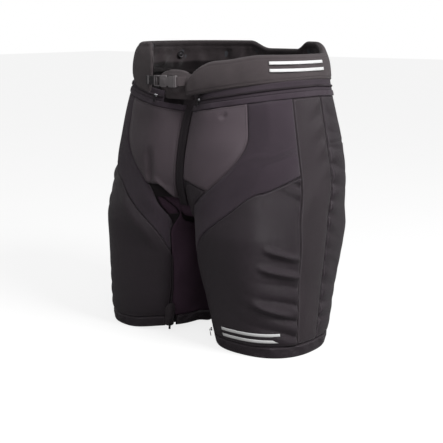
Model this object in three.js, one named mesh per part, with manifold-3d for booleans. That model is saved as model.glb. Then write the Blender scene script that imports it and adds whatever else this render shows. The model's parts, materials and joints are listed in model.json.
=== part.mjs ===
// Hockey pants (an outer shell with a padded waist belt), in millimetres.
// +Z is up, the front faces -Y, the wearer's left is +X. Z = 0 is the plane of both leg hems.
// Every sewn panel, pad and guard is a sheet between two depths under one outer skin.
import * as THREE from "three";
import Module from "manifold-3d";
import { mergeVertices } from "three/addons/utils/BufferGeometryUtils.js";

const wasm = await Module();
wasm.setup();

// ---------------------------------------------------------------- driving dimensions
const MID_Y = 51; // the sections are drawn about this offset, which centres the bounding box on Y = 0
const HIP_Z = 290; // height of the line where the shell parts into a waist body and two leg bodies
const HIP_GAP = 2; // clear height on each side of that line
const TUCK = 9; // how far the top of a leg sits inside the skin, to pass under the waist's panels
const LEG_EDGE = 0.98; // share of the half-ring where the outer leg panels end, front and back
const LEG_SWEEP = 128; // degrees of the leg's ring, each way from its outer side, to share 1
const INNER_TURN = 10; // degrees that the leg panels' edges reach further round the inner thigh
const CORNER_FULLNESS = 1.8; // how much squarer the thigh's front inner corner is than an ellipse
const INNER_X = 14; // the leg stays this far from the symmetry plane, beside the gusset
const GUSSET_HALF_WIDTH = 12;
const CLOTH = 2; // thickness of one laminated shell panel
const SEAM = 0.003; // half-ring share left open between neighbouring panels
const SEAM_Z = 0.6; // height left open between neighbouring panels
const HEM_HEIGHT = 24;
const BELT_THICKNESS = 15;
const BELT_HALF_WIDTH = 217;
const BELT_HALF_DEPTH = 166;
const BELT_MID_Y = 60 - MID_Y;
const BELT_HEIGHT = 104; // at its highest, beside the buckle on the right
const BELT_LEFT_END = -88; // degrees round the waist: -90 front centre, 0 left side, 90 back centre
const BELT_RIGHT_END = 252;
const ZIP_HEIGHT = 18;
const BAND_HEIGHT = 10;
const STRIPE_BACK = 0.01; // the side stripe's rear edge, as a share of the half-ring
const FLY_HALF_WIDTH = 9;
const BUCKLE_Z = 535;
const BUCKLE_MOUTH_X = -34.5; // where the plug enters the socket
const BELT_FRONT_Y = BELT_MID_Y - BELT_HALF_DEPTH;
const BUCKLE_Y = BELT_FRONT_Y - 14; // the buckle's middle plane
const BUCKLE_HEIGHT = 23;
const BUCKLE_DEPTH = 12;
const WEBBING_HEIGHT = 18.4;

const { clamp, lerp, smoothstep, degToRad } = THREE.MathUtils;
const zero = () => 0;

// ---------------------------------------------------------------- materials
const finish = (color, roughness, metalness = 0) => (
  new THREE.MeshStandardMaterial({ color, roughness, metalness })
);
const MATERIALS = {
  nylon: () => finish("#3b373a", 0.55),
  light_nylon: () => finish("#534d51", 0.55),
  stretch: () => finish("#433c42", 0.9),
  belt: () => finish("#4a4648", 0.8),
  lining: () => finish("#2a2729", 0.95),
  foam: () => finish("#4a4a4e", 0.9),
  guard: () => finish("#d8d8d4", 0.45),
  buckle: () => finish("#504e4f", 0.4),
  webbing: () => finish("#2b292b", 0.85),
  zip: () => finish("#1b1a1c", 0.6),
  metal: () => finish("#8f8f93", 0.35, 1),
};

const pants = new THREE.Group();

// Adds one named solid to the pants.
function add(name, geometry, material) {
  const mesh = new THREE.Mesh(geometry, MATERIALS[material]());
  mesh.name = name;
  pants.add(mesh);
}

// ---------------------------------------------------------------- the skin
// A smooth curve through [height, value] pairs, level beyond its ends.
function profile(...keys) {
  const slope = keys.map((_, i) => {
    const before = keys[Math.max(i - 1, 0)];
    const after = keys[Math.min(i + 1, keys.length - 1)];
    return (after[1] - before[1]) / (after[0] - before[0]);
  });
  return (z) => {
    const next = keys.findIndex(([height]) => height >= z);
    if (next === 0) return keys[0][1];
    if (next < 0) return keys.at(-1)[1];
    const [z0, v0] = keys[next - 1];
    const [z1, v1] = keys[next];
    const h = z1 - z0;
    const s = (z - z0) / h;
    const ease = s * s * (3 - 2 * s);
    return lerp(v0, v1, ease) + s * (1 - s) * h * ((1 - s) * slope[next - 1] - s * slope[next]);
  };
}

const pelvisHalfWidth = profile([240, 254], [320, 256], [400, 243], [500, 221], [530, 213]);
const pelvisFront = profile([240, -127], [320, -124], [400, -120], [460, -112], [530, -100]);
const pelvisBack = profile([240, 205], [320, 225], [400, 227], [460, 222], [530, 218]);
const frontGroove = profile([258, 49], [276, 39], [298, 27], [343, 15], [434, 23], [487, 34]);
const BACK_GROOVE = -12;
const GROOVE_WIDTH = 40;
const legInside = profile([0, 38], [50, 28], [100, 18], [150, INNER_X], [240, INNER_X]);
const legOutside = profile([0, 250], [100, 250], [240, 254]);
const legMiddle = profile([0, 9], [100, 23], [240, 38]);
const legHalfDepth = profile([0, 107], [50, 125], [100, 138], [150, 149], [240, 165]);

// Superellipse component: power 2 is an ellipse, larger is squarer.
const squared = (c, power) => Math.sign(c) * Math.abs(c) ** (2 / power);

// A point of the pelvis's half-ring. t is -1 at the front centre, 0 at the side and 1 at the back centre.
function pelvisPoint(t, z) {
  const angle = clamp(t, -1, 1) * Math.PI / 2;
  const front = pelvisFront(z);
  const back = pelvisBack(z);
  const x = pelvisHalfWidth(z) * squared(Math.cos(angle), 2.5);
  const y = (front + back) / 2 + (back - front) / 2 * squared(Math.sin(angle), 2.5);
  const groove = Math.exp(-((x / GROOVE_WIDTH) ** 2)) * (t < 0 ? frontGroove(z) : BACK_GROOVE);
  return new THREE.Vector2(x, y + groove);
}

// A point of the leg's ring. Shares past 1 and -1 go on round the inner thigh.
// The ring turns further at the inner thigh, and its front inner corner is fuller higher up.
function legPoint(t, z) {
  const evenAngle = degToRad(t * LEG_SWEEP);
  const innerness = -2 * Math.min(Math.cos(evenAngle), 0) * Math.sin(evenAngle);
  const angle = evenAngle + degToRad(INNER_TURN) * innerness;
  const corner = Math.max(-innerness, 0) * smoothstep(z, 110, 235);
  const power = 2.4 + CORNER_FULLNESS * corner;
  const half = (legOutside(z) - legInside(z)) / 2;
  const x = legInside(z) + half + half * squared(Math.cos(angle), power);
  return new THREE.Vector2(x, legMiddle(z) + legHalfDepth(z) * squared(Math.sin(angle), power));
}

// The left half of the outer skin: a pelvis above, a leg below, and a soft change between them.
function skin(t, z) {
  const inward = smoothstep(Math.abs(t), 0.5, 1);
  const low = lerp(225, 222, inward);
  const high = lerp(350, 274, inward);
  const point = pelvisPoint(t, z).lerp(legPoint(t, z), 1 - smoothstep(z, low, high));
  return new THREE.Vector3(point.x, point.y - MID_Y, z);
}

// A skin's point moved inwards by a depth, along the skin's own normal.
function under(t, z, depth) {
  const step = 0.002;
  const around = skin(t + step, z).sub(skin(t - step, z));
  const upward = skin(t, z + 1).sub(skin(t, z - 1));
  return skin(t, z).addScaledVector(around.cross(upward).normalize(), -depth);
}

// The same all the way round the waist: angle -90 is the front, 0 the left side, 90 the back, 180 the right.
function waistPoint(angle, z, depth) {
  if (angle <= 90) return under(angle / 90, z, depth);
  const point = under((180 - angle) / 90, z, depth);
  return point.setX(-point.x);
}

// ---------------------------------------------------------------- sheets
// A closed sheet: place(u, v, side) gives its outer face at side 0 and its inner face at side 1.
function sheet(place, columns, rows) {
  const positions = [];
  const index = [];
  const id = (side, i, j) => side * (columns + 1) * (rows + 1) + i * (rows + 1) + j;
  const quad = (a, b, c, d) => index.push(a, b, c, a, c, d);
  for (const side of [0, 1])
    for (let i = 0; i <= columns; i++)
      for (let j = 0; j <= rows; j++) positions.push(...place(i / columns, j / rows, side));
  for (let i = 0; i < columns; i++)
    for (let j = 0; j < rows; j++) {
      quad(id(0, i, j), id(0, i + 1, j), id(0, i + 1, j + 1), id(0, i, j + 1));
      quad(id(1, i, j), id(1, i, j + 1), id(1, i + 1, j + 1), id(1, i + 1, j));
    }
  for (let i = 0; i < columns; i++) {
    quad(id(0, i, 0), id(1, i, 0), id(1, i + 1, 0), id(0, i + 1, 0));
    quad(id(0, i, rows), id(0, i + 1, rows), id(1, i + 1, rows), id(1, i, rows));
  }
  for (let j = 0; j < rows; j++) {
    quad(id(0, 0, j), id(0, 0, j + 1), id(1, 0, j + 1), id(1, 0, j));
    quad(id(0, columns, j), id(1, columns, j), id(1, columns, j + 1), id(0, columns, j + 1));
  }
  const geometry = new THREE.BufferGeometry();
  geometry.setAttribute("position", new THREE.Float32BufferAttribute(positions, 3));
  geometry.setIndex(index);
  return geometry;
}

// The same geometry on the wearer's other side.
function mirrored(geometry) {
  const copy = geometry.clone().applyMatrix4(new THREE.Matrix4().makeScale(-1, 1, 1));
  const index = copy.index.array;
  for (let i = 0; i < index.length; i += 3) [index[i + 1], index[i + 2]] = [index[i + 2], index[i + 1]];
  return copy;
}

// Adds NAME_left and NAME_right.
function addPair(name, geometry, material) {
  add(`${name}_left`, geometry, material);
  add(`${name}_right`, mirrored(geometry), material);
}

// A sheet under the skin. from(z) and to(z) bound it round the half-ring, bottom(t) and top(t) in height.
function panel({ from, to, bottom, top, depth = zero, thickness = CLOTH, columns, rows }) {
  const middle = (bottom(-0.5) + top(-0.5)) / 2;
  return sheet((u, v, side) => {
    const guess = lerp(from(middle), to(middle), u);
    const z = lerp(bottom(guess), top(guess), v);
    const t = lerp(from(z), to(z), u);
    return under(t, lerp(bottom(t), top(t), v), depth(z) + side * thickness);
  }, columns, rows);
}

// A mesh's geometry as a manifold-3d solid, and back.
function toSolid(geometry) {
  const plain = geometry.clone();
  plain.deleteAttribute("normal");
  plain.deleteAttribute("uv");
  const merged = mergeVertices(plain, 1e-4);
  const vertProperties = merged.attributes.position.array;
  const triVerts = new Uint32Array(merged.index.array);
  return new wasm.Manifold(new wasm.Mesh({ numProp: 3, vertProperties, triVerts }));
}

function toGeometry(solid) {
  const mesh = solid.getMesh();
  const geometry = new THREE.BufferGeometry();
  geometry.setAttribute("position", new THREE.Float32BufferAttribute(mesh.vertProperties, 3));
  geometry.setIndex(new THREE.BufferAttribute(mesh.triVerts, 1));
  return geometry;
}

// A box between two corners.
function block(x0, x1, y0, y1, z0, z1) {
  const geometry = new THREE.BoxGeometry(x1 - x0, y1 - y0, z1 - z0);
  return geometry.translate((x0 + x1) / 2, (y0 + y1) / 2, (z0 + z1) / 2);
}

// ---------------------------------------------------------------- belt
// Distance from the plane of symmetry to the belt's outer face.
const beltHalfX = (angle) => BELT_HALF_WIDTH * Math.abs(squared(Math.cos(degToRad(angle)), 2.4));

// The belt's bottom edge round the waist: highest at the hips, and falling to the end of each wing.
const BELT_HIP_Z = 537;
const WING_FALL = 32;
const BACK_FALL = 12;
function beltBottom(angle) {
  if (angle >= 0 && angle <= 180) return BELT_HIP_Z - BACK_FALL * Math.sin(degToRad(angle));
  const wingSpan = BELT_HALF_WIDTH - beltHalfX(BELT_LEFT_END);
  const share = clamp((BELT_HALF_WIDTH - beltHalfX(angle)) / wingSpan, 0, 1);
  return BELT_HIP_Z - WING_FALL * share ** 1.15;
}

// The belt stands high over each kidney, dips at the spine and drops to its left wing.
// It is worn turned a little, so that its spine dip lies to the left of the shell's centre.
const SPINE_ANGLE = 81;
function beltTop(angle) {
  const spineDip = 16.5 * (1 - smoothstep(Math.abs(angle - SPINE_ANGLE), 9, 21));
  const sideDrop = 21 * smoothstep(SPINE_ANGLE - angle, 31, 59);
  const wingDrop = 12 * smoothstep(SPINE_ANGLE - angle, 121, 155);
  return 609 - spineDip - sideDrop - wingDrop;
}

// The left wing's upper corner is one large round down to a low tip. The right wing ends almost square.
const WING_ROUND = { start: 89, width: 78, height: 68 };
function beltEndDrop(angle) {
  const intoRound = angle < 0 ? clamp((WING_ROUND.start - beltHalfX(angle)) / WING_ROUND.width, 0, 1) : 0;
  const fromRight = 1 - smoothstep(BELT_RIGHT_END - angle, 0, 4);
  return WING_ROUND.height * (1 - Math.sqrt(1 - intoRound ** 2)) + 8 * fromRight ** 2;
}

// The belt's front and back swell at mid-height, and its sides lean in towards the top; depth goes inwards.
function beltPoint(angle, z, depth) {
  const aboveBottom = z - beltBottom(angle);
  const share = clamp(aboveBottom / BELT_HEIGHT, 0, 1);
  const sideShare = clamp(aboveBottom / (beltTop(angle) - beltBottom(angle)), 0, 1);
  const lean = 9 * share * share - 4 * Math.sin(Math.PI * share) + depth;
  const sideLean = 2.5 + 5 * sideShare + 8.5 * sideShare * sideShare + depth;
  const c = Math.cos(degToRad(angle));
  const s = Math.sin(degToRad(angle));
  const x = (BELT_HALF_WIDTH - sideLean) * squared(c, 2.4);
  return new THREE.Vector3(x, BELT_MID_Y + (BELT_HALF_DEPTH - lean) * squared(s, 2.4), z);
}

// Columns crowd towards the left wing's round.
const BELT_CROWDING = 1.4;
function beltSheet(start, end, depth, thickness, columns, rows, inset = 0) {
  return sheet((u, v, side) => {
    const angle = lerp(start, end, u ** BELT_CROWDING);
    const top = beltTop(angle) - beltEndDrop(angle) - inset;
    return beltPoint(angle, lerp(beltBottom(angle) + inset, top, v), depth + side * thickness);
  }, columns, rows);
}

const COVER = 1.6;
const PAD_DEPTH = COVER + 2;
const PAD_THICKNESS = BELT_THICKNESS - 2 * PAD_DEPTH;
const PAD_INSET = 3;
const pad = (start, end, columns) => beltSheet(start, end, PAD_DEPTH, PAD_THICKNESS, columns, 2, PAD_INSET);
add("belt_cover", beltSheet(BELT_LEFT_END, BELT_RIGHT_END, 0, COVER, 48, 3), "belt");
add("belt_lining", beltSheet(BELT_LEFT_END, BELT_RIGHT_END, BELT_THICKNESS - COVER, COVER, 48, 2), "lining");
// Five pads fill the belt, from its left end to its right end. Each is given with its two end angles.
const BELT_PADS = [
  ["belt_foam_left", BELT_LEFT_END + 8, SPINE_ANGLE - 84],
  ["kidney_pad_left", SPINE_ANGLE - 84, SPINE_ANGLE - 22],
  ["spine_pad", SPINE_ANGLE - 22, SPINE_ANGLE + 22],
  ["kidney_pad_right", SPINE_ANGLE + 22, SPINE_ANGLE + 86],
  ["belt_foam_right", SPINE_ANGLE + 86, BELT_RIGHT_END - 5],
];
BELT_PADS.forEach(([name, start, end]) => add(name, pad(start + 0.5, end - 0.5, 12), "foam"));

// A suspender button on the belt's lining, facing the wearer.
const BUTTON_Z = 578;
function suspenderButton(angle) {
  const place = beltPoint(angle, BUTTON_Z, BELT_THICKNESS + 2);
  const inward = beltPoint(angle, BUTTON_Z, BELT_THICKNESS + 5).sub(place).normalize();
  const shape = [[0, 0], [3, 0], [3, 1.5], [8, 1.8], [8, 3.8], [0, 3.8]].map((p) => new THREE.Vector2(...p));
  const turn = new THREE.Quaternion().setFromUnitVectors(new THREE.Vector3(0, 1, 0), inward);
  return new THREE.LatheGeometry(shape, 12).applyQuaternion(turn).translate(...place);
}
add("suspender_button_left", suspenderButton(SPINE_ANGLE - 81), "metal");
add("suspender_button_right", suspenderButton(SPINE_ANGLE + 81), "metal");

// ---------------------------------------------------------------- waist zip and waistband
const zipTop = (angle) => beltBottom(angle) - 1;
const bandTop = (angle) => zipTop(angle) - ZIP_HEIGHT - SEAM_Z;
const bandBottom = (angle) => bandTop(angle) - BAND_HEIGHT;

// A strip round the waist between two heights.
function waistStrip(start, end, bottom, top, depth, thickness, columns) {
  return sheet((u, v, side) => {
    const angle = lerp(start, end, u);
    return waistPoint(angle, lerp(bottom(angle), top(angle), v), depth + side * thickness);
  }, columns, 1);
}
const tapeBottom = (angle) => bandTop(angle) + SEAM_Z;
add("waist_zip_tape_left", waistStrip(-85, 89.6, tapeBottom, zipTop, 1, 1.5, 16), "zip");
add("waist_zip_tape_right", waistStrip(90.4, 261, tapeBottom, zipTop, 1, 1.5, 16), "zip");
add("waistband", waistStrip(-88, 268, bandBottom, bandTop, 0, CLOTH, 44), "nylon");

// ---------------------------------------------------------------- shell panels on the waist body
const panelTop = (t) => bandBottom(t * 90) - SEAM_Z;
const waistLine = () => HIP_Z + HIP_GAP;
const fixed = (value) => () => value;

// The crotch panel's outer edge: down from the waist, then sweeping in towards the crotch.
const crotchEdge = (z) => -0.6 - 0.38 * (1 - smoothstep(z, 255, 440));
// The side stripe's front edge: a plumb line at the hip and another on the leg.
const stripeFront = (z) => lerp(-0.178, -0.245, smoothstep(z, 215, 350));
addPair("crotch_panel", panel({
  from: fixed(-0.9875), to: crotchEdge, bottom: waistLine, top: panelTop, columns: 8, rows: 7,
}), "light_nylon");
addPair("stretch_panel", panel({
  from: (z) => crotchEdge(z) + SEAM, to: (z) => stripeFront(z) - SEAM, bottom: waistLine, top: panelTop,
  columns: 7, rows: 7,
}), "stretch");
addPair("hip_stripe", panel({
  from: stripeFront, to: fixed(STRIPE_BACK), bottom: waistLine, top: panelTop, columns: 4, rows: 7,
}), "light_nylon");
addPair("seat_panel", panel({
  from: fixed(STRIPE_BACK + SEAM), to: fixed(0.9985), bottom: waistLine, top: panelTop, columns: 12, rows: 7,
}), "nylon");

// The fly placket covers the front centre, where the two crotch panels stop.
add("fly_placket", sheet((u, v, side) => {
  const x = lerp(-FLY_HALF_WIDTH, FLY_HALF_WIDTH, u);
  const z = lerp(HIP_Z + HIP_GAP, panelTop(-1), v);
  const groove = Math.exp(-((x / GROOVE_WIDTH) ** 2)) * frontGroove(z);
  return new THREE.Vector3(x, pelvisFront(z) + groove - MID_Y + side * CLOTH, z);
}, 4, 7), "light_nylon");

// The gusset runs under the crotch from front to back, as a strip of even width.
const gussetPath = new THREE.CatmullRomCurve3([
  [-94, 289], [-86, 276], [-76, 262], [-48, 252], [20, 247], [100, 250], [160, 260], [195, 274], [207, 289],
].map(([y, z]) => new THREE.Vector3(0, y - MID_Y, z)));
add("crotch_gusset", sheet((u, v, side) => {
  const point = gussetPath.getPointAt(v);
  const tangent = gussetPath.getTangentAt(v);
  point.add(new THREE.Vector3(0, -tangent.z, tangent.y).multiplyScalar(side * CLOTH));
  return point.setX(lerp(GUSSET_HALF_WIDTH, -GUSSET_HALF_WIDTH, u));
}, 2, 16), "nylon");

// ---------------------------------------------------------------- guards in the waist
const GUARD_TOP = 478;
addPair("hip_guard", panel({
  from: fixed(-0.3), to: fixed(0.4), bottom: fixed(352), top: fixed(GUARD_TOP),
  depth: fixed(4), thickness: 9, columns: 8, rows: 4,
}), "guard");

// A sheet across the back centre: share is how much of each half-ring it covers.
function backSheet(share, bottom, top, depth, thickness) {
  return sheet((u, v, side) => {
    const across = 1 - 2 * u;
    const point = under(1 - share * Math.abs(across), lerp(bottom, top, v), depth + side * thickness);
    return point.setX(across < 0 ? -point.x : point.x);
  }, 12, 3);
}
add("tailbone_guard", backSheet(0.2, 360, 470, 4, 3), "guard");
add("tailbone_foam", backSheet(0.22, 355, 475, 7.5, 8), "foam");

// ---------------------------------------------------------------- leg bodies
const legTuck = (z) => TUCK * smoothstep(z, 205, 270);
const hemTop = () => HEM_HEIGHT + SEAM_Z;
const legTop = () => HIP_Z - HIP_GAP;

// The seam between the stretch fabric of the groin and the thigh panel falls from the hip to the inner thigh.
const GROIN_END = -0.73;
const groinSeam = (t) => lerp(195, 283, (t + LEG_EDGE) / (GROIN_END + LEG_EDGE));
addPair("groin_panel", panel({
  from: fixed(-LEG_EDGE), to: fixed(GROIN_END), bottom: groinSeam, top: legTop, depth: legTuck,
  columns: 8, rows: 4,
}), "stretch");
addPair("thigh_panel", panel({
  from: fixed(-LEG_EDGE), to: (z) => stripeFront(z) - SEAM, bottom: hemTop,
  top: (t) => Math.min(groinSeam(t) - 2 * SEAM_Z, legTop()),
  depth: legTuck, columns: 12, rows: 8,
}), "nylon");
addPair("leg_stripe", panel({
  from: stripeFront, to: fixed(STRIPE_BACK), bottom: hemTop, top: legTop, depth: legTuck, columns: 5, rows: 8,
}), "light_nylon");
addPair("leg_back_panel", panel({
  from: fixed(STRIPE_BACK + SEAM), to: fixed(LEG_EDGE), bottom: hemTop, top: legTop, depth: legTuck,
  columns: 12, rows: 8,
}), "nylon");

// The inner-leg panel closes the leg between the back and front edges of the outer panels.
const INNER_START = LEG_EDGE + 5 * SEAM;
const FULL_RING = 360 / LEG_SWEEP;

function innerLegPoint(u, z, depth) {
  const t = lerp(INNER_START, FULL_RING - INNER_START, u);
  const ring = legPoint(t, z);
  const middle = new THREE.Vector2((legInside(z) + legOutside(z)) / 2, legMiddle(z));
  const edgeStep = (share) => {
    const edge = skin(share, z);
    const round = legPoint(share, z);
    return new THREE.Vector2(edge.x, edge.y + MID_Y).sub(round);
  };
  ring.addScaledVector(edgeStep(LEG_EDGE), (1 - u) ** 3).addScaledVector(edgeStep(-LEG_EDGE), u ** 3);
  ring.x = Math.max(ring.x, INNER_X);
  ring.addScaledVector(middle.sub(ring).normalize(), depth);
  return new THREE.Vector3(ring.x, ring.y - MID_Y, z);
}
const innerLegTop = (u) => 238 + 32 * (2 * u - 1) ** 4;
addPair("inner_leg_panel", sheet((u, v, side) => (
  innerLegPoint(u, lerp(hemTop(), innerLegTop(u), v), side * CLOTH)
), 14, 8), "nylon");

// The hem is a folded band round the leg, open at the slit of the inner-leg zip.
const SLIT = 0.05;
addPair("leg_hem", sheet((u, v, side) => {
  const z = HEM_HEIGHT * v;
  const point = legPoint(lerp(SLIT - 1, FULL_RING - 1 - SLIT, u), z);
  const middle = new THREE.Vector2((legInside(z) + legOutside(z)) / 2, legMiddle(z));
  point.addScaledVector(middle.sub(point).normalize(), side * 4);
  return new THREE.Vector3(point.x, point.y - MID_Y, z);
}, 32, 1), "nylon");

// The thigh guard is a plastic plate with foam behind it.
const GUARD_DEPTH = TUCK + 3;
addPair("thigh_guard", panel({
  from: fixed(-0.84), to: fixed(-0.02), bottom: fixed(42), top: fixed(252),
  depth: fixed(GUARD_DEPTH), thickness: 2.5, columns: 9, rows: 6,
}), "guard");
addPair("thigh_foam", panel({
  from: fixed(-0.86), to: fixed(0), bottom: fixed(36), top: fixed(256),
  depth: fixed(GUARD_DEPTH + 3.7), thickness: 8, columns: 9, rows: 6,
}), "foam");

// ---------------------------------------------------------------- zip sliders and pulls
// Places a small piece drawn at the origin, facing -Y: its z axis turns to `up` and its -y axis to `outward`.
function mount(geometry, origin, up, outward) {
  const back = outward.clone().negate();
  const basis = new THREE.Matrix4().makeBasis(back.clone().cross(up), back, up).setPosition(origin);
  return geometry.applyMatrix4(basis);
}

// The slider and its pull ride just outside the cloth. The pull hangs from the slider's top.
const slider = () => block(-4, 4, -5.6, -2.2, -2.9, 2.9);
const pull = () => block(-2.5, 2.5, -7.9, -6.4, -14, 0.75);

// The direction from one point to another.
const direction = (from, to) => to.clone().sub(from).normalize();

// A unit vector square to `along`, as near to `wanted` as can be.
const squareTo = (along, wanted) => wanted.clone().addScaledVector(along, -wanted.dot(along)).normalize();

function waistZipParts(side, angle, far) {
  const middle = (a) => waistPoint(a, (tapeBottom(a) + zipTop(a)) / 2, 0);
  const along = direction(middle(angle), middle(lerp(angle, far, 0.1)));
  const outward = squareTo(along, direction(waistPoint(angle, middle(angle).z, 5), middle(angle)));
  const up = squareTo(outward, new THREE.Vector3(0, 0, 1));
  add(`waist_zip_slider_${side}`, mount(slider(), middle(angle), up, outward), "metal");
  add(`waist_zip_pull_${side}`, mount(pull(), middle(angle), up, outward), "zip");
}
waistZipParts("left", -83, -65);
waistZipParts("right", 257, 241);

// The inner-leg zip closes the slit at the inner thigh's front edge.
const ZIP_SHARE = -1 + SLIT / 4;
const LEG_ZIP_TOP = 175;
addPair("leg_zip_tape", sheet((u, v, side) => {
  const t = ZIP_SHARE + lerp(-0.02, 0.02, u);
  return under(t, lerp(2, LEG_ZIP_TOP, v), 2.6 + 1.4 * side);
}, 1, 8), "zip");
const legZipFoot = skin(ZIP_SHARE, 30);
const legZipUp = direction(legZipFoot, skin(ZIP_SHARE, 115));
const legZipOut = squareTo(legZipUp, direction(under(ZIP_SHARE, 80, 5), skin(ZIP_SHARE, 80)));
addPair("leg_zip_slider", mount(slider(), legZipFoot, legZipUp, legZipOut), "metal");
addPair("leg_zip_pull", mount(pull(), legZipFoot, legZipUp, legZipOut), "zip");

// ---------------------------------------------------------------- buckle, straps and tongue
const halfBuckle = BUCKLE_HEIGHT / 2;
// A block of the buckle: x from its mouth, a depth each way from its middle plane, heights from its centre.
const buckleBlock = (x0, x1, depth, low, high) => block(
  BUCKLE_MOUTH_X + x0, BUCKLE_MOUTH_X + x1, BUCKLE_Y - depth, BUCKLE_Y + depth, BUCKLE_Z + low, BUCKLE_Z + high,
);

function buckleSocket() {
  const body = toSolid(buckleBlock(0, 36, BUCKLE_DEPTH / 2, -halfBuckle, halfBuckle));
  const throat = toSolid(buckleBlock(-1, 26, 3.6, -halfBuckle - 1, halfBuckle + 1));
  const slot = toSolid(buckleBlock(29.5, 33, BUCKLE_DEPTH, -9.8, 9.8));
  return toGeometry(body.subtract(throat).subtract(slot));
}

// The plug's frame is a ladder lock, with a guide tongue that enters the socket.
function bucklePlug() {
  const frame = toSolid(buckleBlock(-19, -1, 3.2, 1 - halfBuckle, halfBuckle - 1));
  const guide = toSolid(buckleBlock(-2, 22, 2.5, -3, 3));
  const outerSlot = toSolid(buckleBlock(-17, -14, 4, -9.3, 9.3));
  const innerSlot = toSolid(buckleBlock(-11, -6, 4, -9.3, 9.3));
  return toGeometry(frame.add(guide).subtract(outerSlot).subtract(innerSlot));
}
add("buckle_socket", buckleSocket(), "buckle");
add("buckle_plug", bucklePlug(), "buckle");
add("buckle_prong_upper", buckleBlock(-0.4, 18, 2.5, 6, 10), "buckle");
add("buckle_prong_lower", buckleBlock(-0.4, 18, 2.5, -10, -6), "buckle");

// A webbing strap between two ends, each an [x, y] of its outer face.
function strap([x0, y0], [x1, y1], columns = 2) {
  const half = WEBBING_HEIGHT / 2;
  return sheet((u, v, side) => {
    const y = lerp(y0, y1, smoothstep(u, 0, 1)) + side * 1.5;
    return new THREE.Vector3(lerp(x0, x1, u), y, BUCKLE_Z + lerp(-half, half, v));
  }, columns, 1);
}
const leftStrap = strap([BUCKLE_MOUTH_X + 36.5, BUCKLE_Y], [12.5, BELT_FRONT_Y + 4], 6);
const rightStrap = strap([-104, BELT_FRONT_Y - 1.5], [BUCKLE_MOUTH_X - 12, BUCKLE_Y + 3.7], 6);
add("buckle_strap_left", leftStrap, "webbing");
add("buckle_strap_right", rightStrap, "webbing");

// The tongue stands behind the gap between the belt's ends, with a rounded top. It curves back at mid-width.
const TONGUE = {
  left: -74, right: 10, bottom: 517, top: 556, y: BELT_FRONT_Y + BELT_THICKNESS + 2, thickness: 6,
};
add("tongue", sheet((u, v, side) => {
  const across = 2 * u - 1;
  const top = TONGUE.top - 14 * Math.abs(across) ** 3;
  const y = TONGUE.y + 8 * (1 - across * across) * v + side * TONGUE.thickness;
  return new THREE.Vector3(lerp(TONGUE.left, TONGUE.right, u), y, lerp(TONGUE.bottom, top, v));
}, 10, 4), "belt");

export default pants;
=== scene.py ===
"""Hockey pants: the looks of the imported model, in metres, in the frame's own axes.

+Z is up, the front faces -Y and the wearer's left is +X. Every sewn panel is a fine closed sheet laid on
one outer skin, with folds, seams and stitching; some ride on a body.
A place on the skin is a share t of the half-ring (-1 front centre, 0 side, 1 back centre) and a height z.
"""
import json
import math

import bmesh
import bpy
import numpy as np
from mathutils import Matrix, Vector


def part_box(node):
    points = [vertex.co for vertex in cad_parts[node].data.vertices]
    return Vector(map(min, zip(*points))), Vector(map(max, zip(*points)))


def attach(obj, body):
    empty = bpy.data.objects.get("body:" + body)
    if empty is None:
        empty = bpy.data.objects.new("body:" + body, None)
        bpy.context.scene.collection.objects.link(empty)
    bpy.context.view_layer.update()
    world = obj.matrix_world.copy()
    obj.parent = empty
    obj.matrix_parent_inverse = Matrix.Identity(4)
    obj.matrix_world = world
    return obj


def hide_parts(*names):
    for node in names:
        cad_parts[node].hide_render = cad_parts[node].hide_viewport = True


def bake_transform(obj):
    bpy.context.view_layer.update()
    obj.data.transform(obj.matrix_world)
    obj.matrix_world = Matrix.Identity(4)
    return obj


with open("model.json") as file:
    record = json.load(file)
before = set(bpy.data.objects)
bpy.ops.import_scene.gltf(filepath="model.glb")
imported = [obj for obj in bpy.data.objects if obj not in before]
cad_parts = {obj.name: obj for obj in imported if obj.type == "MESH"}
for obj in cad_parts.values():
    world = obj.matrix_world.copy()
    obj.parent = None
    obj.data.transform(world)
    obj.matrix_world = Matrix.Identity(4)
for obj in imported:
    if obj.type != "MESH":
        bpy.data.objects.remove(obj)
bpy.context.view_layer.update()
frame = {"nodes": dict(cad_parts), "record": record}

# ---------------------------------------------------------------- driving dimensions
MM = 0.001
MID_Y = 0.051  # the sections are drawn about this offset
CLOTH = 0.0016  # thickness of one panel
SPACING = 0.0035  # between a panel's grid points
SEAM_DIP = 0.0016  # how deep a panel's edge sinks into its seam
SEAM_WIDTH = 0.0022  # how far beside the seam the dip reaches
STITCH_INSET = 0.0035
DEEPEST_FOLD = -0.0018  # the foam and guards are right under the cloth
RING = 0.32  # metres of cloth in one unit of share
HEM_TOP = 0.024
LEG_EDGE = 0.98
LEG_SWEEP = 128  # degrees of the leg's ring to share 1
PELVIS_SQUARENESS = 2.5  # power of the superellipse: 2 is an ellipse
LEG_SQUARENESS = 2.4
BELT_SQUARENESS = 2.4
INNER_TURN = 10  # degrees that the leg panels' edges reach further round the inner thigh
CORNER_FULLNESS = 1.8  # how much squarer the thigh's front inner corner is than an ellipse
INNER_X = 0.014  # nearest that a leg comes to the middle
STRIPE_BACK = 0.01
FLY_EDGE = -0.9875  # share at which the crotch panels meet the fly
FLY_HALF_WIDTH = 0.009
GROOVE_WIDTH = 0.04  # of the hollow at the front and back centre
HEM_SLIT = 0.05  # share of the hem left open at the leg's zip
BELT_HALF_WIDTH = 0.217
BELT_HALF_DEPTH = 0.166
BELT_MID_Y = 0.009
BELT_THICKNESS = 0.015
WAIST_START = -89  # degrees round the waist: -90 front centre, 0 left side, 90 back centre
WAIST_STOP = 269
BELT_LEFT_END = -88.3
BELT_RIGHT_END = 252
SPINE_ANGLE = 81  # the belt is worn turned a little, so its spine dip lies left of the centre
BELT_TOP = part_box("belt_cover")[1].z
BELT_HIP_Z = 0.537
BELT_FRONT_Y = BELT_MID_Y - BELT_HALF_DEPTH
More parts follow.
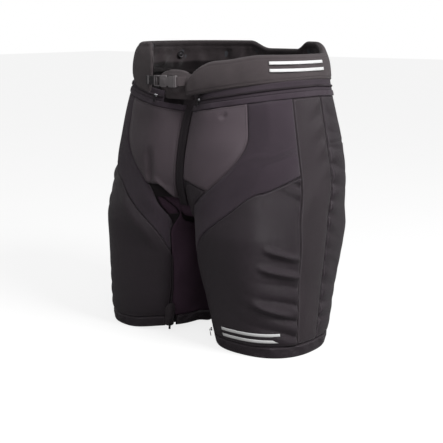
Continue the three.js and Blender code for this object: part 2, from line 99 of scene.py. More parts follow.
BUCKLE_LOW, BUCKLE_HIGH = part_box("buckle_socket")
BUCKLE_Y = (BUCKLE_LOW.y + BUCKLE_HIGH.y) / 2
BUCKLE_Z = (BUCKLE_LOW.z + BUCKLE_HIGH.z) / 2
LINING_SHADE_Z = 0.571  # below this height the belt's lining is painted darker: painted shade
ZIP_HEIGHT = 0.018
BAND_HEIGHT = 0.010
SIDES = (("left", 1), ("right", -1))


# ---------------------------------------------------------------- small maths
def smooth(x, low, high):
    """0 below low, 1 above high, and a soft step between."""
    share = np.clip((x - low) / (high - low), 0, 1)
    return share * share * (3 - 2 * share)


def lerp(a, b, share):
    return a + (b - a) * share


def window(x, rise, fall):
    """1 between two soft steps, each given as (from, to)."""
    return smooth(x, *rise) * (1 - smooth(x, *fall))


def bell(x, width):
    """1 at x = 0, falling away to both sides over about `width`."""
    return np.exp(-((x / width) ** 2))


def seam_dip(gap):
    """How deep the cloth sinks at a distance from its seam."""
    return SEAM_DIP * bell(gap, SEAM_WIDTH)


def unit(vectors):
    return vectors / np.maximum(np.linalg.norm(vectors, axis=-1, keepdims=True), 1e-12)


def squared(c, power):
    """Superellipse component: power 2 is an ellipse, larger is squarer."""
    return np.sign(c) * np.abs(c) ** (2 / power)


def profile(*keys):
    """A smooth curve in metres through (height, value) pairs in millimetres, level beyond its ends."""
    z, value = np.array(keys).T * MM
    last = len(keys) - 1
    before = np.maximum(np.arange(last + 1) - 1, 0)
    after = np.minimum(np.arange(last + 1) + 1, last)
    slope = (value[after] - value[before]) / (z[after] - z[before])

    def at(height):
        height = np.clip(height, z[0], z[-1])
        i = np.clip(np.searchsorted(z, height, side="right") - 1, 0, last - 1)
        width = z[i + 1] - z[i]
        s = (height - z[i]) / width
        bend_in = s * (1 - s) * width * ((1 - s) * slope[i] - s * slope[i + 1])
        return lerp(value[i], value[i + 1], s * s * (3 - 2 * s)) + bend_in

    return at


def wobble(a, b, size, seed):
    """A smooth, repeatable unevenness of about -1 to 1 over two lengths, with bumps of about `size`."""
    total = 0
    for k in range(5):
        turn = seed * 1.9 + k * 2.399
        pitch = 2 * math.pi / (size * (1 + 0.35 * k))
        total = total + np.sin((a * math.cos(turn) + b * math.sin(turn)) * pitch + seed * 5.3 + k * 1.7)
    return total / 3.2


def run(points, axis):
    """Distance walked along one axis of a grid of points."""
    step = np.linalg.norm(np.diff(points, axis=axis), axis=-1)
    start = np.zeros_like(np.take(points[..., 0], [0], axis=axis))
    return np.concatenate([start, np.cumsum(step, axis=axis)], axis=axis)


def edge_gap(points):
    """Each point's distance to the nearest border of a grid of points."""
    across = run(points, 0)
    upward = run(points, 1)
    return np.minimum.reduce([across, across[-1:] - across, upward, upward[:, -1:] - upward])


def mesh_grid(a0, a1, b0, b1, columns, rows):
    return np.meshgrid(np.linspace(a0, a1, columns), np.linspace(b0, b1, rows), indexing="ij")


def path_points(keys, count):
    """Points evenly spaced along a smooth curve through a few keys."""
    keys = np.array(keys, float)
    span = np.linalg.norm(np.diff(keys, axis=0), axis=1)
    knots = np.concatenate([[0], np.cumsum(span)])
    tangents = np.gradient(keys, knots, axis=0)
    s = np.linspace(0, knots[-1], count)
    i = np.clip(np.searchsorted(knots, s, side="right") - 1, 0, len(keys) - 2)
    h = (knots[i + 1] - knots[i])[:, None]
    w = (s - knots[i])[:, None] / h
    from_start = (2 * w**3 - 3 * w**2 + 1) * keys[i] + (w**3 - 2 * w**2 + w) * h * tangents[i]
    to_end = (3 * w**2 - 2 * w**3) * keys[i + 1] + (w**3 - w**2) * h * tangents[i + 1]
    return from_start + to_end


# ---------------------------------------------------------------- the skin
pelvis_half_width = profile((240, 254), (320, 256), (400, 243), (500, 221), (530, 213))
pelvis_front = profile((240, -127), (320, -124), (400, -120), (460, -112), (530, -100))
pelvis_back = profile((240, 205), (320, 225), (400, 227), (460, 222), (530, 218))
front_groove = profile((258, 49), (276, 39), (298, 27), (343, 15), (434, 23), (487, 34))
leg_inside = profile((0, 38), (50, 28), (100, 18), (150, 14), (240, 14))
leg_outside = profile((0, 250), (100, 250), (240, 254))
leg_middle = profile((0, 9), (100, 23), (240, 38))
leg_half_depth = profile((0, 107), (50, 125), (100, 138), (150, 149), (240, 165))


def groove(x, depth):
    """The hollow at the front or back centre."""
    return bell(x, GROOVE_WIDTH) * depth


def pelvis_point(t, z):
    """A point of the half-ring round the pelvis, hollowed at the front and back centre."""
    angle = np.clip(t, -1, 1) * math.pi / 2
    front = pelvis_front(z)
    back = pelvis_back(z)
    x = pelvis_half_width(z) * squared(np.cos(angle), PELVIS_SQUARENESS)
    y = (front + back) / 2 + (back - front) / 2 * squared(np.sin(angle), PELVIS_SQUARENESS)
    return x, y + groove(x, np.where(t < 0, front_groove(z), -0.012))


def leg_point(t, z):
    """A point of the leg's ring, turned further at the inner thigh, with a fuller front inner corner."""
    even = np.radians(t * LEG_SWEEP)
    innerness = -2 * np.minimum(np.cos(even), 0) * np.sin(even)
    angle = even + np.radians(INNER_TURN) * innerness
    power = LEG_SQUARENESS + CORNER_FULLNESS * np.maximum(-innerness, 0) * smooth(z, 0.095, 0.230)
    half = (leg_outside(z) - leg_inside(z)) / 2
    x = leg_inside(z) + half + half * squared(np.cos(angle), power)
    return x, leg_middle(z) + leg_half_depth(z) * squared(np.sin(angle), power)


def skin(t, z):
    """Points of the left half of the outer skin: a pelvis above, a leg below and a soft change between."""
    t, z = np.broadcast_arrays(np.asarray(t, float), np.asarray(z, float))
    inward = smooth(np.abs(t), 0.5, 1)
    legness = 1 - smooth(z, lerp(0.225, 0.222, inward), lerp(0.350, 0.274, inward))
    pelvis = pelvis_point(t, z)
    leg = leg_point(t, z)
    return np.stack([lerp(pelvis[0], leg[0], legness), lerp(pelvis[1], leg[1], legness) - MID_Y, z], -1)


def skin_normal(t, z):
    around = skin(t + 0.002, z) - skin(t - 0.002, z)
    upward = skin(t, z + 0.001) - skin(t, z - 0.001)
    return unit(np.cross(around, upward))


def waist_point(angle, z, depth):
    """The skin all the way round the waist by angle, moved inwards by depth."""
    t = np.where(angle <= 90, angle, 180 - angle) / 90
    points = skin(t, z) - skin_normal(t, z) * np.asarray(depth)[..., None]
    points[..., 0] *= np.where(angle <= 90, 1, -1)
    return points


# ---------------------------------------------------------------- the belt's ring
def belt_half_x(angle):
    return BELT_HALF_WIDTH * np.abs(squared(np.cos(np.radians(angle)), BELT_SQUARENESS))


def belt_bottom(angle):
    """Height of the belt's bottom edge: highest at the hips, and falling to the end of each wing."""
    angle = np.asarray(angle, float)
    wing = np.clip((BELT_HALF_WIDTH - belt_half_x(angle)) / (BELT_HALF_WIDTH - belt_half_x(-88)), 0, 1)
    back = BELT_HIP_Z - 0.012 * np.sin(np.radians(angle))
    return np.where((angle >= 0) & (angle <= 180), back, BELT_HIP_Z - 0.032 * wing**1.15)


def belt_top(angle):
    """The belt stands high over each kidney, dips at the spine and drops to its left wing."""
    to_left = SPINE_ANGLE - angle
    spine_dip = 0.0165 * (1 - smooth(np.abs(to_left), 9, 21))
    side_drop = 0.021 * smooth(to_left, 31, 59)
    wing_drop = 0.012 * smooth(to_left, 121, 155)
    into_round = np.clip((0.089 - belt_half_x(angle)) / 0.079, 0, 1) * (angle < 0)
    round_drop = 0.070 * (1 - np.sqrt(1 - into_round**2))
    return BELT_TOP - spine_dip - side_drop - wing_drop - round_drop


def belt_point(angle, z, depth):
    """A point of the belt. Front and back swell at mid-height, the sides lean in; depth goes inwards."""
    low = belt_bottom(angle)
    share = np.clip((z - low) / np.maximum(belt_top(angle) - low, 0.06), 0, 1)
    curl = 0.004 * smooth(share, 0.72, 1.05) * smooth(angle, 120, 200)
    lean = 0.009 * share**2 - 0.004 * np.sin(math.pi * share) + curl + depth
    side_lean = 0.0025 + 0.005 * share + 0.0085 * share**2 + curl + depth
    turn = np.radians(angle)
    x = (BELT_HALF_WIDTH - side_lean) * squared(np.cos(turn), BELT_SQUARENESS)
    y = BELT_MID_Y + (BELT_HALF_DEPTH - lean) * squared(np.sin(turn), BELT_SQUARENESS)
    return np.stack(np.broadcast_arrays(x, y, z), -1)


def band_bottom(angle):
    """Height of the waistband's lower edge, below the zip."""
    return belt_bottom(angle) - 0.0296


def panel_top(t):
    """Height at which the shell's panels meet the waistband."""
    return band_bottom(t * 90) - 0.0006


# ---------------------------------------------------------------- meshes
def add_object(name, vertices, faces, finish, uv=None, attributes=None):
    """A smooth-shaded mesh object with one material, optional UVs in metres and optional point attributes."""
    mesh = bpy.data.meshes.new(name)
    mesh.from_pydata(vertices.tolist(), [], faces.tolist() if isinstance(faces, np.ndarray) else faces)
    mesh.shade_smooth()
    if uv is not None:
        loops = np.empty(len(mesh.loops), np.int32)
        mesh.loops.foreach_get("vertex_index", loops)
        mesh.uv_layers.new(name="cloth").data.foreach_set("uv", uv[loops].astype(np.float32).ravel())
    for key, values in (attributes or {}).items():
        attribute = mesh.attributes.new(key, "FLOAT", "POINT")
        attribute.data.foreach_set("value", values.astype(np.float32).ravel())
    mesh.materials.append(finish)
    obj = bpy.data.objects.new(name, mesh)
    bpy.context.scene.collection.objects.link(obj)
    return obj


def grid_quads(ids):
    return np.stack([ids[:-1, :-1], ids[1:, :-1], ids[1:, 1:], ids[:-1, 1:]], -1).reshape(-1, 4)


def rim_quads(ids, other):
    """Faces that join the border of one grid to the border of the grid behind it."""
    quads = []
    for border in (np.s_[:, 0], np.s_[-1], np.s_[::-1, -1], np.s_[0, ::-1]):
        edge = ids[border]
        back = other[border]
        quads.append(np.stack([edge[:-1], back[:-1], back[1:], edge[1:]], -1))
    return np.concatenate(quads)


def lift_right_hem(points):
    """The right leg's hem rides up at its front inner corner."""
    x, y, z = points.T
    share = (1 - smooth(np.abs(x), 0.06, 0.16)) * smooth(-y, 0, 0.06) * (1 - smooth(z, 0, 0.13))
    return points + np.stack([0 * x, 0 * x, 0.012 * share], -1)


def sheet(name, outer, inner, finish, flip=False, edge=None):
    """A closed sheet between two grids of points. `edge` is each point's distance to the nearest seam."""
    count = outer.shape[0] * outer.shape[1]
    ids = np.arange(count).reshape(outer.shape[:2])
    behind = ids + count
    faces = np.concatenate([grid_quads(ids), grid_quads(behind)[:, ::-1], rim_quads(ids, behind)])
    vertices = np.concatenate([outer.reshape(-1, 3), inner.reshape(-1, 3)])
    if flip:
        vertices = lift_right_hem(vertices * (-1, 1, 1))
        faces = faces[:, ::-1]
    along = np.stack([run(outer, 0), run(outer, 1)], -1).reshape(-1, 2)
    far = np.ones(count) if edge is None else edge.ravel()
    return add_object(name, vertices, faces, finish, np.tile(along, (2, 1)), {"edge": np.tile(far, 2)})


def panel_grid(start, stop, bottom, top):
    """Shares and heights over a panel, between start(z) and stop(z) and between bottom(t) and top(t)."""
    middle = float(bottom(np.array(-0.5)) + top(np.array(-0.5))) / 2
    ends = float(start(middle)), float(stop(middle))
    tallest = max(float(top(np.array(t)) - bottom(np.array(t))) for t in ends)
    columns = max(int(RING * float(stop(middle) - start(middle)) / SPACING), 4)
    rows = max(int(tallest / SPACING), 4)
    u, v = mesh_grid(0, 1, 0, 1, columns + 1, rows + 1)
    t = lerp(start(middle), stop(middle), u)
    for _ in range(6):
        z = lerp(bottom(t), top(t), v)
        t = lerp(start(z), stop(z), u)
    return t, z


def panel(name, side, start, stop, bottom, top, finish, relief=None, depth=0, crown=0.001):
    """One sewn panel. relief(t, z, gaps, side) adds its folds; gaps holds the distances to its four edges."""
    t, z = panel_grid(start, stop, bottom, top)
    base = skin(t, z)
    run_t = run(base, 0)
    run_z = run(base, 1)
    gaps = {"front": run_t, "rear": run_t[-1:] - run_t, "foot": run_z, "head": run_z[:, -1:] - run_z}
    edge = np.minimum.reduce(list(gaps.values()))
    height = crown * (1 - bell(edge, 0.012)) - seam_dip(edge)
    if relief is not None:
        height = height + relief(t, z, gaps, side) * smooth(edge, 0, 0.005)
    normal = skin_normal(t, z)
    outer = base + normal * (height - depth)[..., None]
    inner = base + normal * (height - depth - CLOTH)[..., None]
    return sheet(name, outer, inner, finish, side < 0, edge)


def fixed(value):
    return lambda _: value + 0 * _


def ridge(t, z, start, end, height, width):
    """A soft fold from one (share, height) place to another."""
    along_t = (end[0] - start[0]) * RING
    along_z = end[1] - start[1]
    length = math.hypot(along_t, along_z)
    a = (t - start[0]) * RING
    b = z - start[1]
    share = (a * along_t + b * along_z) / length**2
    off = (a * along_z - b * along_t) / length
    return height * bell(off, width) * window(share, (-0.25, 0.25), (0.7, 1.25))


def pulled(gap, z, pitch, slope, reach, seed):
    """Folds gathered by a seam: round ridges with sharp valleys, fading with their distance from it."""
    phase = (z - slope * gap) / pitch + 0.22 * wobble(z, gap, 0.11, seed)
    wave = np.abs(np.sin(math.pi * phase)) ** 0.8 - 0.4
    uneven = 0.65 + 0.45 * wobble(z, 0 * z, 0.13, seed + 3)
    return wave * uneven * np.exp(-((gap / reach) ** 1.3))


# ---------------------------------------------------------------- materials
def srgb(red, green, blue):
    return tuple((c / 255) ** 2.2 for c in (red, green, blue)) + (1.0,)


class Finish:
    """A Principled material whose node graph is built up by short calls."""

    def __init__(self, name, colour, roughness, metallic=0.0, sheen=0.0, specular=0.5):
        self.material = bpy.data.materials.new(name)
        self.material.use_nodes = True
        self.nodes = self.material.node_tree.nodes
        self.links = self.material.node_tree.links
        self.shader = self.nodes["Principled BSDF"]
        self.shader.inputs["Roughness"].default_value = roughness
        self.shader.inputs["Metallic"].default_value = metallic
        self.shader.inputs["Sheen Weight"].default_value = sheen
        self.shader.inputs["Sheen Roughness"].default_value = 0.45
        self.shader.inputs["Specular IOR Level"].default_value = specular
        self.place = self.nodes.new("ShaderNodeTexCoord").outputs["Object"]
        self.colour = self.rgb(colour)
        self.bump = None

    def rgb(self, colour):
        node = self.nodes.new("ShaderNodeRGB")
        node.outputs[0].default_value = colour
        return node.outputs[0]

    def math(self, operation, a, b=None):
        node = self.nodes.new("ShaderNodeMath")
        node.operation = operation
        for socket, value in zip(node.inputs, (a, b)):
            if value is None:
                continue
            if isinstance(value, (int, float)):
                socket.default_value = value
            else:
                self.links.new(value, socket)
        return node.outputs[0]

    def noise(self, scale, detail=3.0):
        node = self.nodes.new("ShaderNodeTexNoise")
        node.inputs["Scale"].default_value = scale
        node.inputs["Detail"].default_value = detail
        self.links.new(self.place, node.inputs["Vector"])
        return node.outputs["Fac"]

    def voronoi(self, scale):
        node = self.nodes.new("ShaderNodeTexVoronoi")
        node.inputs["Scale"].default_value = scale
        self.links.new(self.place, node.inputs["Vector"])
        return node.outputs["Distance"]

    def spread(self, value, low, high):
        """Stretches a 0.3 to 0.7 noise over low to high."""
        node = self.nodes.new("ShaderNodeMapRange")
        node.inputs["From Min"].default_value = 0.3
        node.inputs["From Max"].default_value = 0.7
        node.inputs["To Min"].default_value = low
        node.inputs["To Max"].default_value = high
        self.links.new(value, node.inputs["Value"])
        return node.outputs[0]

    def shade(self, factor):
        """Multiplies the colour by a grey factor."""
        node = self.nodes.new("ShaderNodeVectorMath")
        node.operation = "SCALE"
        self.links.new(self.colour, node.inputs[0])
        self.links.new(factor, node.inputs["Scale"])
        self.colour = node.outputs[0]

    def mix(self, factor, colour):
        """Mixes the colour towards another one by a 0 to 1 factor."""
        node = self.nodes.new("ShaderNodeMix")
        node.data_type = "RGBA"
        self.links.new(factor, node.inputs["Factor"])
        self.links.new(self.colour, node.inputs["A"])
        node.inputs["B"].default_value = colour
        self.colour = node.outputs["Result"]

    def raise_by(self, height, distance):
        """Adds a bump of the given height in metres."""
        node = self.nodes.new("ShaderNodeBump")
        node.inputs["Distance"].default_value = distance
        self.links.new(height, node.inputs["Height"])
        if self.bump is not None:
            self.links.new(self.bump, node.inputs["Normal"])
        self.bump = node.outputs[0]

    def uneven_roughness(self, low, high, scale=14):
        self.links.new(self.spread(self.noise(scale), low, high), self.shader.inputs["Roughness"])

    def threads(self, pitch, depth, rib=1.0):
        """A plain weave from the UVs, which are in metres. `rib` above 1 makes long ribs."""
        split = self.nodes.new("ShaderNodeSeparateXYZ")
        self.links.new(self.nodes.new("ShaderNodeUVMap").outputs[0], split.inputs[0])
        across = self.math("SINE", self.math("MULTIPLY", split.outputs[0], 2 * math.pi / pitch))
        upward = self.math("SINE", self.math("MULTIPLY", split.outputs[1], 2 * math.pi / (pitch * rib)))
        self.raise_by(self.math("MULTIPLY", across, upward), depth)

    def stitches(self, inset, colour):
        """A row of stitches at a distance from each seam, from the `edge` attribute."""
        edge = self.nodes.new("ShaderNodeAttribute")
        edge.attribute_name = "edge"
        off = self.math("ABSOLUTE", self.math("SUBTRACT", edge.outputs["Fac"], inset))
        row = self.math("LESS_THAN", off, 0.0005)
        self.mix(self.math("MULTIPLY", row, 0.6), colour)
        self.raise_by(row, 0.0004)

    def done(self):
        self.links.new(self.colour, self.shader.inputs["Base Color"])
        if self.bump is not None:
            self.links.new(self.bump, self.shader.inputs["Normal"])
        return self.material


def woven(name, colour, roughness, sheen, thread_shade):
    """Woven nylon: fine weave, soft mottling, a satin sheen and a row of stitches beside each seam."""
    finish = Finish(name, colour, roughness, sheen=sheen, specular=0.42)
    finish.shade(finish.spread(finish.noise(9), 0.9, 1.1))
    finish.uneven_roughness(roughness - 0.06, roughness + 0.06)
    finish.threads(0.0009, 0.00012)
    finish.shade(finish.spread(finish.noise(1500, 1), 0.93, 1.07))
    finish.stitches(STITCH_INSET, thread_shade)
    return finish.done()


def knitted(name, colour, roughness, sheen, pitch, depth, mottle=0.08):
    """A matt knit: longer ribs, more sheen, no gloss."""
    finish = Finish(name, colour, roughness, sheen=sheen, specular=0.2)
    finish.shade(finish.spread(finish.noise(12), 1 - mottle, 1 + mottle))
    finish.threads(pitch, depth, rib=2.2)
    finish.shade(finish.spread(finish.noise(900, 2), 0.9, 1.1))
    return finish.done()


def lining_with_painted_shade(name, colour, dark):
    """Brushed cloth, painted darker below a line at hip height: painted shade where the belt's inside lies in
    shade.
    """
    finish = Finish(name, colour, 0.9, sheen=0.12, specular=0.2)
    split = finish.nodes.new("ShaderNodeSeparateXYZ")
    finish.links.new(finish.place, split.inputs[0])
    uneven = finish.math("MULTIPLY", finish.noise(18), 0.012)
    height = finish.math("SUBTRACT", finish.math("SUBTRACT", LINING_SHADE_Z, split.outputs["Z"]), uneven)
    below = finish.math("MINIMUM", finish.math("MAXIMUM", finish.math("MULTIPLY", height, 180), 0), 1)
    # painted shade: the lining's colour is mixed towards the dark one below hip height
    finish.mix(below, dark)
    finish.shade(finish.spread(finish.noise(12), 0.85, 1.15))
    finish.threads(0.002, 0.0003, rib=2.2)
    return finish.done()


def foam_finish(name, colour):
    finish = Finish(name, colour, 0.92, specular=0.2)
    finish.shade(finish.spread(finish.noise(60), 0.9, 1.1))
    finish.raise_by(finish.voronoi(900), 0.0002)
    return finish.done()


def plastic(name, colour, roughness, specular=0.5):
    finish = Finish(name, colour, roughness, specular=specular)
    finish.shade(finish.spread(finish.noise(25), 0.94, 1.06))
    finish.uneven_roughness(roughness - 0.07, roughness + 0.07, 60)
    finish.raise_by(finish.noise(1200, 2), 0.00005)
    return finish.done()


def metal(name, colour, roughness):
    finish = Finish(name, colour, roughness, metallic=1.0)
    finish.uneven_roughness(roughness - 0.08, roughness + 0.1, 200)
    finish.raise_by(finish.noise(900, 2), 0.00004)
    return finish.done()


THREAD = srgb(92, 84, 90)
NYLON = woven("nylon", srgb(49, 41, 47), 0.43, 0.05, THREAD)
FLY_NYLON = woven("fly_nylon", srgb(38, 31, 36), 0.6, 0.02, srgb(48, 42, 46))
LIGHT_NYLON = woven("light_nylon", srgb(91, 80, 87), 0.5, 0.08, srgb(60, 54, 58))
# a darker copy of the light nylon: painted shade for the right crotch panel, which faces away from the key
# light
PAINTED_SHADE_NYLON = woven("painted_shade_nylon", srgb(80, 70, 76), 0.5, 0.08, srgb(54, 48, 52))
STRIPE_NYLON = woven("stripe_nylon", srgb(53, 45, 50), 0.46, 0.08, THREAD)
STRETCH = knitted("stretch_knit", srgb(73, 64, 72), 0.8, 0.12, 0.0011, 0.0002)
# lighter than the outer cloth, as painted light for the inner thighs and the cloth under the crotch, which
# lie in deep shade
INNER_KNIT = knitted("inner_leg_knit", srgb(72, 56, 68), 0.9, 0.0, 0.0011, 0.0002)
BELT_FABRIC = knitted("belt_fabric", srgb(84, 77, 79), 0.75, 0.12, 0.0013, 0.00025)
# the second colour is painted shade for the lining's lower part
LINING = lining_with_painted_shade("brushed_lining", srgb(66, 60, 62), srgb(30, 25, 27))
MESH_LINING = knitted("mesh_lining", srgb(36, 31, 34), 0.9, 0.1, 0.0026, 0.0004, 0.12)
FOAM = foam_finish("closed_cell_foam", srgb(74, 74, 78))
GUARD = plastic("guard_plastic", srgb(58, 56, 58), 0.42)
BUCKLE = plastic("buckle_acetal", srgb(112, 107, 109), 0.34, 0.6)
GREY_WEBBING = knitted("grey_webbing", srgb(120, 116, 118), 0.75, 0.2, 0.0022, 0.0005)
WEBBING = knitted("webbing", srgb(44, 40, 43), 0.75, 0.2, 0.0022, 0.0005)
TAPE = knitted("zip_tape", srgb(69, 61, 68), 0.7, 0.08, 0.0016, 0.0002)
TEETH = plastic("zip_teeth", srgb(54, 47, 52), 0.5, 0.3)
BRIGHT_METAL = metal("bright_zinc", srgb(205, 205, 208), 0.25)
DARK_METAL = metal("dark_zinc", srgb(66, 64, 66), 0.52)
PRINT = plastic("white_print", srgb(232, 232, 232), 0.5)


# ---------------------------------------------------------------- riding
def wear(obj, body, slot, *nodes):
    """The piece rides on one body and stands for its CAD nodes."""
    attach(obj, body)
    if nodes:
        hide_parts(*nodes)
    return obj


def bend(obj, name, side, slot, *nodes):
    """Bakes the piece's place into its mesh and hides the CAD nodes it stands for."""
    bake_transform(obj)
    if nodes:
        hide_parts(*nodes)
    return obj


# ---------------------------------------------------------------- shell panels

def crotch_edge(z):
    """The crotch panel's outer edge: down from the waist, then sweeping in to the crotch."""
    return -0.6 - 0.38 * (1 - smooth(z, 0.255, 0.44))


def stripe_front(z):
    return lerp(-0.178, -0.245, smooth(z, 0.215, 0.35))


def thigh_seam(t):
    """Height of the seam between the stretch panel and the thigh panel."""
    rise = smooth(t, -1.15, -0.52)
    return 0.150 + 0.178 * rise + 0.115 * np.clip(t + 0.52, 0, 1)


def back_edge(z):
    return lerp(LEG_EDGE, 0.9997, smooth(z, 0.262, 0.30))


def tip_seam(t):
    """Height of the seam that closes the left crotch panel above its lowest tip."""
    return 0.333 - 0.12 * (t + 0.93)


def tip_fold(t):
    """Height of the fold where the right crotch panel turns under."""
    return 0.326 - 0.030 * smooth(-t, 0.92, 1.0)


def groin_line(z):
    """Where the right leg's cloth turns in to the groin."""
    return lerp(-1.0, -0.885, smooth(z, 0.205, 0.325))


def groin_edge(z):
    """The stretch panel's inner edge: beside the crotch panel, then down the groin."""
    return np.maximum(crotch_edge(z), -LEG_EDGE) + 0.001


def right_groin_edge(z):
    return np.maximum(groin_edge(z), groin_line(z))


def groin_fold_edge(z):
    return np.maximum(groin_line(z), groin_edge(z) + 0.004)


def front_of_stripe(z):
    return stripe_front(z) - 0.001


def below_thigh_seam(t):
    return thigh_seam(t) - 0.0004


def soft_relief(t, z, height, size, seed):
    """Unevenness of the cloth over the skin."""
    return height * wobble(t * RING, z, size, seed)


def crotch_relief(t, z, gaps, side):
    puffed = 0.003 * smooth(gaps["rear"], 0, 0.02) * (1 - smooth(z, 0.40, 0.46))
    soft = soft_relief(t, z, 0.0016, 0.07, 4 + side)
    pinch = ridge(t, z, (-0.74, 0.476), (-0.77, 0.468), -0.003, 0.005)
    if side > 0:
        return puffed + soft + pinch
    overhang = 0.005 * (1 - smooth(gaps["foot"], 0, 0.03))
    crease = ridge(t, z, (-0.865, 0.390), (-0.885, 0.318), -0.007, 0.0060)
    return puffed + soft + overhang + crease


def tip_relief(t, z, _, side):
    return soft_relief(t, z, 0.002, 0.03, 6 + side)


def stretch_relief(t, z, _, side):
    soft = soft_relief(t, z, 0.0012, 0.08, 7 + side)
    crease = ridge(t, z, (-0.80, 0.36), (-0.62, 0.375), -0.002, 0.005)
    diagonal = ridge(t, z, (-0.83, 0.32), (-0.68, 0.36), -0.002, 0.006)
    return soft + (crease + diagonal) * (1.0 if side < 0 else 0.35)


def thigh_relief(t, z, gaps, side):
    rear = gaps["rear"]
    gathered = (0.0105 if side > 0 else 0.005) * pulled(rear, z, 0.034, 0.36, 0.055, 2 + side)
    slow = soft_relief(t, z, 0.0022, 0.12, 11 + side)
    broad = ridge(t, z, (-0.52, 0.112), (-0.25, 0.085), 0.0085, 0.007)
    strong = ridge(t, z, (-0.46, 0.184), (-0.18, 0.163), 0.0095, 0.006)
    second = ridge(t, z, (-0.42, 0.220), (-0.18, 0.197), 0.0085, 0.006)
    hollow = ridge(t, z, (-0.46, 0.312), (-0.24, 0.284), -0.0035, 0.013)
    long_fold = ridge(t, z, (-0.66, 0.29), (-0.84, 0.20), 0.006, 0.012)
    folds = broad + strong + second + hollow if side > 0 else long_fold + 0.6 * hollow
    return np.maximum(gathered + slow + folds, DEEPEST_FOLD)


def stripe_relief(t, z, gaps, side):
    soft = soft_relief(t, z, 0.0013, 0.07, 17 + side)
    waves = 0.0022 * np.sin(2 * math.pi * (z - 0.5 * gaps["front"]) / 0.045)
    return soft + smooth(z, 0.3, 0.42) * waves * bell(gaps["rear"], 0.04)


def back_relief(t, z, gaps, side):
    front = gaps["front"]
    gathered = 0.0105 * pulled(front, z, 0.034, -0.25, 0.045, 22 + side) * smooth(z, 0.03, 0.07)
    gathered = gathered * (1 - 0.75 * smooth(z, 0.36, 0.44))
    slow = soft_relief(t, z, 0.0022, 0.12, 27 + side)
    notch = ridge(t, z, (0.03, 0.182), (0.16, 0.155), -0.006, 0.008)
    yoke = -0.0022 * bell(z - 0.415 + 0.02 * t, 0.002)
    seat_fold = ridge(t, z, (0.95, 0.30), (0.60, 0.262), -0.004, 0.010)
    return np.maximum(gathered + slow + notch + yoke * smooth(t, 0.02, 0.04) + seat_fold, DEEPEST_FOLD)


def make_crotch(name, side):
    """The light crotch panel, and the small piece that closes or turns under its lower tip. The right panel
    is painted darker, as painted shade.
    """
    left = side > 0
    seam = tip_seam if left else tip_fold

    def below_seam(t):
        return seam(t) - 0.0003

    # painted shade: the right crotch panel takes the darker copy of the light nylon
    cloth = LIGHT_NYLON if left else PAINTED_SHADE_NYLON
    crotch = panel(f"crotch_panel_{name}", side, fixed(FLY_EDGE), crotch_edge, seam, panel_top, cloth,
                   crotch_relief, crown=0.0014)
    wear(crotch, "waist", "light_nylon", f"crotch_panel_{name}")
    tip = panel(f"crotch_tip_{name}", side, fixed(FLY_EDGE), crotch_edge, fixed(0.262), below_seam,
                NYLON if left else INNER_KNIT, tip_relief, depth=0.0 if left else 0.011, crown=0.0015)
    wear(tip, "waist", "light_nylon", f"crotch_panel_{name}")


def make_stretch(name, side):
    """The knit panel over the groin. The right one turns in to the groin with a fold."""
    inner_edge = groin_edge if side > 0 else right_groin_edge
    stretch = panel(f"stretch_panel_{name}", side, inner_edge, front_of_stripe, thigh_seam, panel_top,
                    STRETCH, stretch_relief, crown=0.0006)
    if side < 0:
        turned = panel("groin_fold_right", side, groin_edge, groin_fold_edge, fixed(0.176), fixed(0.322),
                       INNER_KNIT, depth=0.008)
        bend(turned, name, side, "stretch")
    bend(stretch, name, side, "stretch", f"stretch_panel_{name}", f"groin_panel_{name}")


def make_shell(name, side):
    """One side's sewn panels, from the fly round to the back's centre."""
    make_crotch(name, side)
    make_stretch(name, side)
    hem_top = fixed(HEM_TOP)
    thigh = panel(f"thigh_panel_{name}", side, fixed(-LEG_EDGE), front_of_stripe, hem_top, below_thigh_seam,
                  NYLON, thigh_relief, crown=0.0015)
    bend(thigh, name, side, "nylon", f"thigh_panel_{name}")
    stripe = panel(f"side_stripe_{name}", side, stripe_front, fixed(STRIPE_BACK), hem_top, panel_top,
                   STRIPE_NYLON, stripe_relief, crown=0.0018)
    bend(stripe, name, side, "light_nylon", f"hip_stripe_{name}", f"leg_stripe_{name}")
    back = panel(f"back_panel_{name}", side, fixed(STRIPE_BACK + 0.0012), back_edge, hem_top, panel_top,
                 NYLON, back_relief, crown=0.0015)
    bend(back, name, side, "nylon", f"seat_panel_{name}", f"leg_back_panel_{name}")


for side_name, side_sign in SIDES:
    make_shell(side_name, side_sign)


# ---------------------------------------------------------------- inner legs, hems and gusset
FULL_RING = 360 / LEG_SWEEP
INNER_START = LEG_EDGE + 0.004


def leg_inset(x, y, z, depth):
    """Points of the leg's ring, moved inwards by depth."""
    middle_x = (leg_inside(z) + leg_outside(z)) / 2
    inward = unit(np.stack([middle_x - x, leg_middle(z) - y, 0 * z], -1))
    return np.stack([x, y - MID_Y, z], -1) + inward * np.asarray(depth)[..., None]


def inner_leg_points(u, z, depth):
    """The inner thigh, from the back panel's edge round to the front panel's edge."""
    x, y = leg_point(lerp(INNER_START, FULL_RING - INNER_START, u), z)
    for share, weight in ((LEG_EDGE, (1 - u) ** 3), (-LEG_EDGE, u**3)):
        edge = skin(share, z)
        round_x, round_y = leg_point(share, z)
        x = x + weight * (edge[..., 0] - round_x)
        y = y + weight * (edge[..., 1] + MID_Y - round_y)
    return leg_inset(np.maximum(x, INNER_X), y, z, depth)


